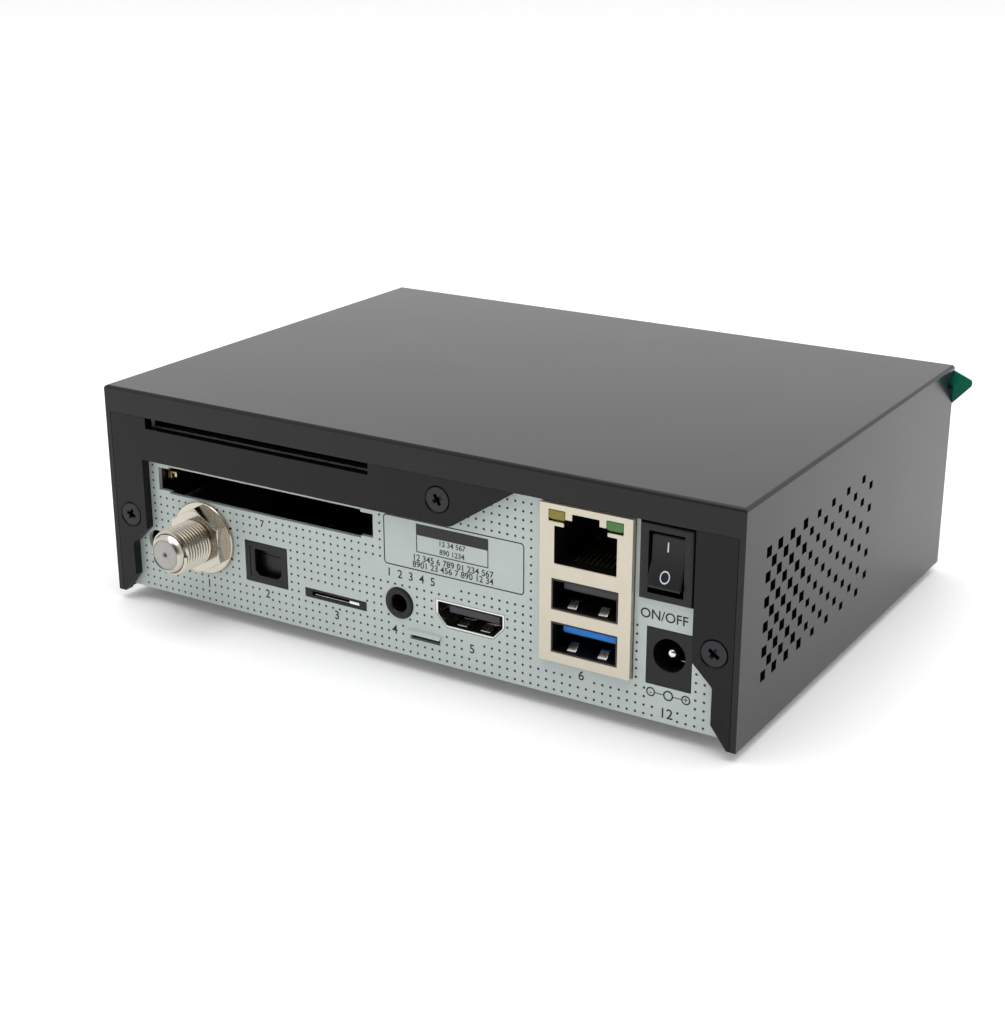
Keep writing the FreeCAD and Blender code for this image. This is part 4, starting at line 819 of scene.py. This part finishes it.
JACK_HEIGHT = 0.0139
JACK_PROFILE = (
    (1.8, -45.0), (1.8, -52.1), (2.0, -52.35), (2.4, -52.4), (2.8, -52.4),
    (3.1, -52.32), (3.2, -52.1), (3.2, -50.0), (1.8, -45.0),
)


def remote_jack():
    x = middle("remote_jack").x
    z = JACK_HEIGHT
    ring = add_turned("eye_jack", (x, z), JACK_PROFILE)
    body = copy_of("remote_jack", "jack_body")
    front = add_block("front", (x - 0.01, -0.06, z - 0.01), (x + 0.01, -0.0512, z + 0.01))
    cut(body, front)
    piece = join("eye_jack", [ring, body])
    round_edges(piece, 0.0001, 1, 50.0)
    fit(piece, "socket_black", SOCKET_BLACK, "remote_jack")
    spring = add_block("jack_spring", (x + 0.0009, -0.0505, z - 0.0004), (x + 0.00175, -0.044, z + 0.0004))
    pick_faces(spring, lambda centre, normal: normal.y < -0.9)
    edit(spring)
    bpy.ops.transform.translate(value=(0.0004, 0, 0))
    done()
    round_edges(spring, 0.0001, 2)
    fit(spring, "stack_nickel", SPRING_STEEL)


def bent_spring(name, x, y, z, width, rise, reach):
    """A pressed spring leaf: a short upright front with a slope behind it."""
    half = width / 2
    thick = 0.0002
    left = x - half
    outline = [(left, y, z), (left, y + reach * 0.35, z + rise), (left, y + reach * 0.55, z + rise),
               (left, y + reach, z), (left, y + reach, z - thick), (left, y, z - thick)]
    piece = add_prism(name, outline, (width, 0, 0))
    round_edges(piece, 0.00006, 2)
    return piece


def video_socket():
    low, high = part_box("video_socket_frame")
    shroud = copy_of("video_socket_frame", "video_shroud")
    round_edges(shroud, 0.00012, 3)
    fit(shroud, "nickel", SPRING_STEEL, "video_socket_frame")
    tongue = copy_of("video_socket_tongue", "video_tongue")
    round_edges(tongue, 0.0002, 3)
    fit(tongue, "socket_black", TONGUE_GREY, "video_socket_tongue")
    t_low, t_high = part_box("video_socket_tongue")
    pads = []
    count = 10
    pitch = (t_high.x - t_low.x - 0.001) / (count - 1)
    for index in range(count):
        x = t_low.x + 0.0005 + index * pitch
        pads.append(add_block("pad", (x - 0.00022, t_low.y + 0.0006, t_low.z - 0.00006),
                              (x + 0.00022, t_low.y + 0.006, t_low.z + 0.0001)))
    fit(join("video_contacts", pads), "gold", GOLD)
    x = middle("video_socket_frame").x
    spring_y = PANEL_FACE + 0.0014
    springs = [bent_spring("spring", x + side * 0.0026, spring_y, low.z + 0.0013, 0.0021, 0.0006, 0.004)
               for side in (-1, 1)]
    fit(join("video_springs", springs), "nickel", SPRING_STEEL)


# Network and data socket stack


def socket_stack():
    low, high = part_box("network_stack_shield")
    can = copy_of("network_stack_shield", "stack_can")
    round_edges(can, 0.00016, 3)
    fit(can, "stack_nickel", CAN_STEEL, "network_stack_shield")
    liners = copy_of("port_liners", "stack_liners")
    round_edges(liners, 0.0001, 2)
    fit(liners, "stack_nickel", LINER_STEEL, "port_liners")
    for node, name, finish, slot in (("upper_port_tongue", "upper_tongue", TONGUE_GREY, "socket_black"),
                                     ("lower_port_tongue", "lower_tongue", TONGUE_BLUE, "tongue_blue")):
        tongue = copy_of(node, name)
        round_edges(tongue, 0.0002, 3)
        fit(tongue, slot, finish, node)
        t_low, t_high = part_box(node)
        pads = []
        for index in range(4):
            x = t_low.x + (t_high.x - t_low.x) * (index + 0.5) / 4
            pads.append(add_block("pad", (x - 0.0005, t_low.y + 0.001, t_low.z - 0.00008),
                                  (x + 0.0005, t_high.y - 0.002, t_low.z + 0.0001)))
        fit(join(name + "_contacts", pads), "gold", GOLD)
        x = middle(node).x
        base = t_low.z - 0.0028
        springs = [bent_spring("spring", x + side * 0.0032, low.y + 0.0012, base, 0.0018, 0.0011, 0.004)
                   for side in (-1, 1)]
        fit(join(name + "_springs", springs), "stack_nickel", SPRING_STEEL)
    for node, name, finish, slot in (("link_light", "link_lens", LIGHT_YELLOW, "light_yellow"),
                                     ("activity_light", "activity_lens", LIGHT_GREEN, "light_green")):
        lens = copy_of(node, name)
        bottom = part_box(node)[0].z
        pick_edges(lens, lambda a, b: near(a.z, bottom) and near(b.z, bottom) and near(a.x, b.x))
        edit(lens, "EDGE")
        bpy.ops.mesh.bevel(offset=0.0008, segments=4, affect="EDGES")
        done()
        round_edges(lens, 0.0001, 2)
        fit(lens, slot, finish, node)


# Rocker switch and power inlet

ROCKER_PIVOT = Vector((0.0574, -0.051, 0.03425))
ROCKER_REST = -11.0


def rocker_mark(name, piece, up, angle):
    """Stands a flat mark on a rocker half: up and out are from the pivot, before its rest turn."""
    piece.rotation_euler = (pi / 2 + radians(angle), 0, 0)
    place_in_mesh(piece)
    lift = 0.00003
    piece.location = (0, -0.00204 - lift, up)
    place_in_mesh(piece)
    piece.rotation_euler = (radians(ROCKER_REST), 0, 0)
    place_in_mesh(piece)
    piece.location = ROCKER_PIVOT
    place_in_mesh(piece)
    return named(piece, name)


def rocker_switch():
    bezel = copy_of("switch_bezel", "switch_surround")
    round_edges(bezel, 0.0001, 2, 50.0)
    fit(bezel, "switch_black", SWITCH_BLACK, "switch_bezel")
    rocker = copy_of("switch_rocker", "rocker_cap")
    round_edges(rocker, 0.0003, 3, 25.0)
    fit(rocker, "switch_black", SWITCH_BLACK, "switch_rocker", body="rocker")
    tilt = 8.7
    deselect_all()
    bpy.ops.mesh.primitive_cube_add(size=1)
    bar = bpy.context.object
    bar.scale = (0.00026, 0.0018, 0.00006)
    place_in_mesh(bar)
    fit(rocker_mark("mark_on", bar, 0.0027, tilt), "plug_white", MARK_WHITE, body="rocker")
    deselect_all()
    bpy.ops.mesh.primitive_torus_add(major_radius=0.00105, minor_radius=0.00013, major_segments=48,
                                     minor_segments=8)
    ring = bpy.context.object
    ring.scale = (0.82, 1.0, 0.25)
    place_in_mesh(ring)
    fit(rocker_mark("mark_off", ring, -0.0027, -tilt), "plug_white", MARK_WHITE, body="rocker")


INLET_PIN_PROFILE = (
    (0.0, -51.18), (0.35, -51.16), (0.75, -50.98), (0.97, -50.6),
    (1.0, -50.2), (1.0, -42.02), (0.0, -42.0),
)


def power_inlet():
    block = copy_of("power_inlet", "inlet_block")
    round_edges(block, 0.00025, 3, 40.0)
    fit(block, "socket_black", SOCKET_BLACK, "power_inlet")
    pin_middle = middle("power_inlet_pin")
    pin = add_turned("inlet_pin", (pin_middle.x, pin_middle.z), INLET_PIN_PROFILE, 40)
    even_shading(pin, 50.0)
    fit(pin, "nickel", SPRING_STEEL, "power_inlet_pin")
    spring = add_block("inlet_spring", (pin_middle.x + 0.0002, -0.0478, pin_middle.z - 0.0027),
                       (pin_middle.x + 0.0022, -0.0430, pin_middle.z - 0.0024))
    pick_faces(spring, lambda centre, normal: normal.y > 0.9)
    edit(spring)
    bpy.ops.transform.translate(value=(0, 0, 0.0008))
    done()
    round_edges(spring, 0.0001, 2)
    fit(spring, "nickel", SPRING_STEEL)


# Print on the panel

DOT_STEP = 0.0017
DOT_PHASE = (-0.00455, 0.02456)
DOT_RADIUS = 0.00025
PRINT_LIFT = 0.00003
WORD_BOLD_SHARE = 0.009
LABEL_BOX = ((-0.0036, 0.0216), (0.0280, 0.0319))
# Words, their middle in x and z, and their size
LABELS = (
    ("1", -0.0486, 0.0076, 0.0026),
    ("2", -0.0330, 0.0086, 0.0026),
    ("3", -0.0155, 0.0078, 0.0026),
    ("4", -0.0014, 0.0080, 0.0026),
    ("5", 0.0165, 0.0080, 0.0026),
    ("6", 0.0403, 0.0083, 0.0026),
    ("ON/OFF", 0.0568, 0.0238, 0.0026),
    ("12", 0.0578, 0.0051, 0.0028),
    ("7", -0.0337, 0.0237, 0.0022),
    ("12 345 6 789 01 234 567", 0.0122, 0.0242, 0.0018),
    ("8901 23 456 7 890 12 34", 0.0122, 0.0228, 0.0018),
    ("12 34 567", 0.0121, 0.0281, 0.0015),
    ("890 1234", 0.0121, 0.0264, 0.0015),
    ("1  2  3  4  5", 0.0026, 0.0199, 0.0024),
)
LABEL_BAR = ((0.0040, 0.0291), (0.0202, 0.0312))
LABEL_FIELD = ((0.0040, 0.0254), (0.0202, 0.0291))
DOT_MARGIN = 0.0005
DOT_FIELD_X = (-0.0668, 0.0668)
DOT_FIELD_Z = (0.0038, 0.0420)
# Low and high corners, in x and z, where the dots stay away
CLEAR_PLACES = (
    ((-0.0042, 0.0210), (0.0286, 0.0325)),
    ((-0.0042, 0.0184), (0.0110, 0.0216)),
    ((0.0306, 0.0087), (0.0506, 0.0430)),
    ((0.0510, 0.0258), (0.0640, 0.0430)),
    ((0.0536, 0.0072), (0.0630, 0.0106)),
)


def is_clear(sheet, x, z, taken):
    """True where the sheet is bare and flat all round a dot."""
    if any(low[0] < x < high[0] and low[1] < z < high[1] for low, high in taken):
        return False
    for across, up in ((-DOT_MARGIN, 0), (DOT_MARGIN, 0), (0, -DOT_MARGIN), (0, DOT_MARGIN)):
        hit, place, _, _ = sheet.ray_cast((x + across, PANEL_FACE - 0.02, z + up), (0, 1, 0))
        if not hit or not near(place.y, PANEL_FACE):
            return False
    return True


def print_places():
    """The rectangle taken by each printed word."""
    places = []
    for words, x, z, size in LABELS:
        half = size * 0.34 * len(words) + DOT_RADIUS
        places.append(((x - half, z - size * 0.55), (x + half, z + size * 0.55)))
    return places


def dot_line(field, phase):
    """The dots' places along one axis, from one end of a field to the other."""
    first, last = [int((end - phase) / DOT_STEP) for end in field]
    return [phase + index * DOT_STEP for index in range(first, last + 1)]


def panel_dots(sheet):
    """One printed dot, copied over a square grid wherever the panel is bare."""
    deselect_all()
    y = PANEL_FACE - PRINT_LIFT
    bpy.ops.mesh.primitive_circle_add(vertices=10, radius=DOT_RADIUS, fill_type="NGON",
                                      rotation=(pi / 2, 0, 0))
    first = bpy.context.object
    place_in_mesh(first)
    dots = []
    taken = list(CLEAR_PLACES) + print_places()
    columns = dot_line(DOT_FIELD_X, DOT_PHASE[0])
    rows = dot_line(DOT_FIELD_Z, DOT_PHASE[1])
    places = [(x, z) for x in columns for z in rows]
    for x, z in [place for place in places if is_clear(sheet, *place, taken)]:
        dot = first.copy()
        dot.data = first.data.copy()
        dot.data.transform(Matrix.Translation((x, y, z)))
        bpy.context.scene.collection.objects.link(dot)
        dots.append(dot)
    bpy.data.objects.remove(first)
    piece = join("panel_dots", dots)
    return fit(piece, "black_frame", PRINT_BLACK)


def printed(words, x, z, size):
    """Words on the panel, as a thin mesh."""
    deselect_all()
    bpy.ops.object.text_add(rotation=(pi / 2, 0, 0))
    label = bpy.context.object
    label.data.body = words
    label.data.size = size
    label.data.offset = size * WORD_BOLD_SHARE
    label.data.align_x = "CENTER"
    label.data.align_y = "CENTER"
    bpy.ops.object.convert(target="MESH")
    label = bpy.context.object
    place_in_mesh(label)
    label.location = (x, PANEL_FACE - PRINT_LIFT, z)
    place_in_mesh(label)
    return label


def printed_frame(low, high, line, radius):
    """A rounded outline of one line width."""
    deselect_all()
    centre = ((low[0] + high[0]) / 2, PANEL_FACE - PRINT_LIFT, (low[1] + high[1]) / 2)
    bpy.ops.mesh.primitive_plane_add(size=1, location=centre, rotation=(pi / 2, 0, 0))
    piece = bpy.context.object
    piece.scale = (high[0] - low[0], high[1] - low[1], 1)
    place_in_mesh(piece)
    edit(piece, "VERT")
    bpy.ops.mesh.select_all(action="SELECT")
    bpy.ops.mesh.bevel(offset=radius, segments=6, affect="VERTICES")
    bpy.ops.mesh.select_mode(type="FACE")
    bpy.ops.mesh.select_all(action="SELECT")
    bpy.ops.mesh.inset(thickness=line)
    bpy.ops.mesh.delete(type="FACE")
    done()
    return piece


SIGN_MIDDLE = (0.0581, 0.0088)
SIGN_END = 0.0035
SIGN_RING = 0.0009
SIGN_CENTRE = 0.0010


def framed_about(x, z, across, up, line, radius):
    """An outline about a point."""
    return printed_frame((x - across, z - up), (x + across, z + up), line, radius)


def panel_print():
    marks = [printed(*label) for label in LABELS]
    marks.append(printed_frame(*LABEL_BOX, 0.00022, 0.0008))
    marks.append(printed_frame(*LABEL_FIELD, 0.00018, 0.0001))
    low, high = LABEL_BAR
    marks.append(add_block("bar", (low[0], PANEL_FACE - PRINT_LIFT, low[1]),
                           (high[0], PANEL_FACE - PRINT_LIFT / 2, high[1])))
    x, z = SIGN_MIDDLE
    for side, words in ((-1, "-"), (1, "+")):
        end = x + side * SIGN_END
        marks.append(framed_about(end, z, SIGN_RING, SIGN_RING, 0.00026, 0.00088))
        marks.append(printed(words, end, z, 0.0016))
        marks.append(framed_about(x + side * 0.0018, z, SIGN_RING, 0.00008, 0.000075, 0.00001))
    marks.append(framed_about(x, z, SIGN_CENTRE, SIGN_CENTRE, 0.00028, 0.00098))
    piece = join("panel_print", marks)
    return fit(piece, "black_frame", PRINT_BLACK)


# Front, tab and inner parts


def front_parts():
    fascia = copy_of("front_fascia", "front_plate")
    round_edges(fascia, 0.0003, 3)
    fit(fascia, "front_black", FRONT_BLACK, "front_fascia")
    window = copy_of("front_window", "display_window")
    round_edges(window, 0.00025, 3)
    fit(window, "window_smoke", WINDOW_SMOKE, "front_window")
    button = copy_of("power_button", "front_button")
    even_shading(button, 35.0)
    fit(button, "front_black", SWITCH_BLACK, "power_button", body="button")
    tab = copy_of("film_pull_tab", "pull_tab")
    even_shading(tab)
    fit(tab, "film_green", FILM_GREEN, "film_pull_tab")


def feet():
    piece = copy_of("rubber_feet", "round_feet")
    round_edges(piece, 0.0002, 2, 35.0)
    return fit(piece, "rubber_black", RUBBER, "rubber_feet")


def board_capacitors():
    """Sleeved cans with rounded rims."""
    piece = copy_of("capacitors", "board_capacitors")
    round_edges(piece, 0.0004, 3, 50.0)
    return fit(piece, "capacitor", SLEEVE_BLACK, "capacitors")


cover()
rear_frame()
panel_sheet = rear_panel()
screws()
aerial_barrel()
aerial_insulator()
aerial_washer()
aerial_nut()
optical_socket()
optical_shutter()
slot_contact()
memory_slot()
remote_jack()
video_socket()
socket_stack()
rocker_switch()
power_inlet()
panel_dots(panel_sheet)
panel_print()
front_parts()
feet()
board_capacitors()

# Room, lights and camera


def floor():
    deselect_all()
    bpy.ops.mesh.primitive_plane_add(size=FLOOR_SIZE)
    piece = named(bpy.context.object, "floor")
    finish = Finish("floor_pale")
    cloud = finish.noise(3.0)
    pale = finish.blend(cloud, tone(247, 247, 248), tone(251, 251, 251))
    piece.data.materials.append(finish.close(
        Base_Color=pale, Roughness=0.55 + cloud * 0.1, Emission_Color=pale, Emission_Strength=FLOOR_LIFT))


def soft_light(name, place, aim, size, power):
    data = bpy.data.lights.new(name, "AREA")
    data.shape = "RECTANGLE"
    data.size, data.size_y = size
    data.energy = power
    lamp = bpy.data.objects.new(name, data)
    bpy.context.scene.collection.objects.link(lamp)
    lamp.location = place
    lamp.rotation_euler = (Vector(aim) - Vector(place)).to_track_quat("-Z", "Y").to_euler()


def room():
    world = bpy.data.worlds.new("studio")
    world.use_nodes = True
    bpy.context.scene.world = world
    nodes = world.node_tree.nodes
    links = world.node_tree.links
    background = nodes["Background"]
    background.inputs["Strength"].default_value = 1.0
    place = nodes.new("ShaderNodeTexCoord")
    facing = nodes.new("ShaderNodeVectorMath")
    facing.operation = "DOT_PRODUCT"
    facing.inputs[1].default_value = ROOM_DARK_SIDE
    ramp = nodes.new("ShaderNodeValToRGB")
    steps = ramp.color_ramp.elements
    steps[0].position = 0.0
    steps[0].color = ROOM_BRIGHT
    steps[1].position = 0.95
    steps[1].color = ROOM_DARK
    middle_step = steps.new(0.45)
    middle_step.color = ROOM_BRIGHT
    links.new(place.outputs["Generated"], facing.inputs[0])
    links.new(facing.outputs["Value"], ramp.inputs["Fac"])
    links.new(ramp.outputs["Color"], background.inputs["Color"])
    soft_light("overhead", (0.1, -0.2, 1.2), (0, 0, 0), (1.2, 1.2), 9.0)
    bpy.context.scene.view_settings.view_transform = "Standard"


def camera():
    data = bpy.data.cameras.new("camera")
    data.sensor_width = SENSOR
    data.lens = LENS
    viewer = bpy.data.objects.new("camera", data)
    bpy.context.scene.collection.objects.link(viewer)
    viewer.location = CAMERA_PLACE
    viewer.rotation_euler = CAMERA_AIM.to_track_quat("-Z", "Y").to_euler()
    bpy.context.scene.camera = viewer


floor()
room()
camera()

deselect_all()
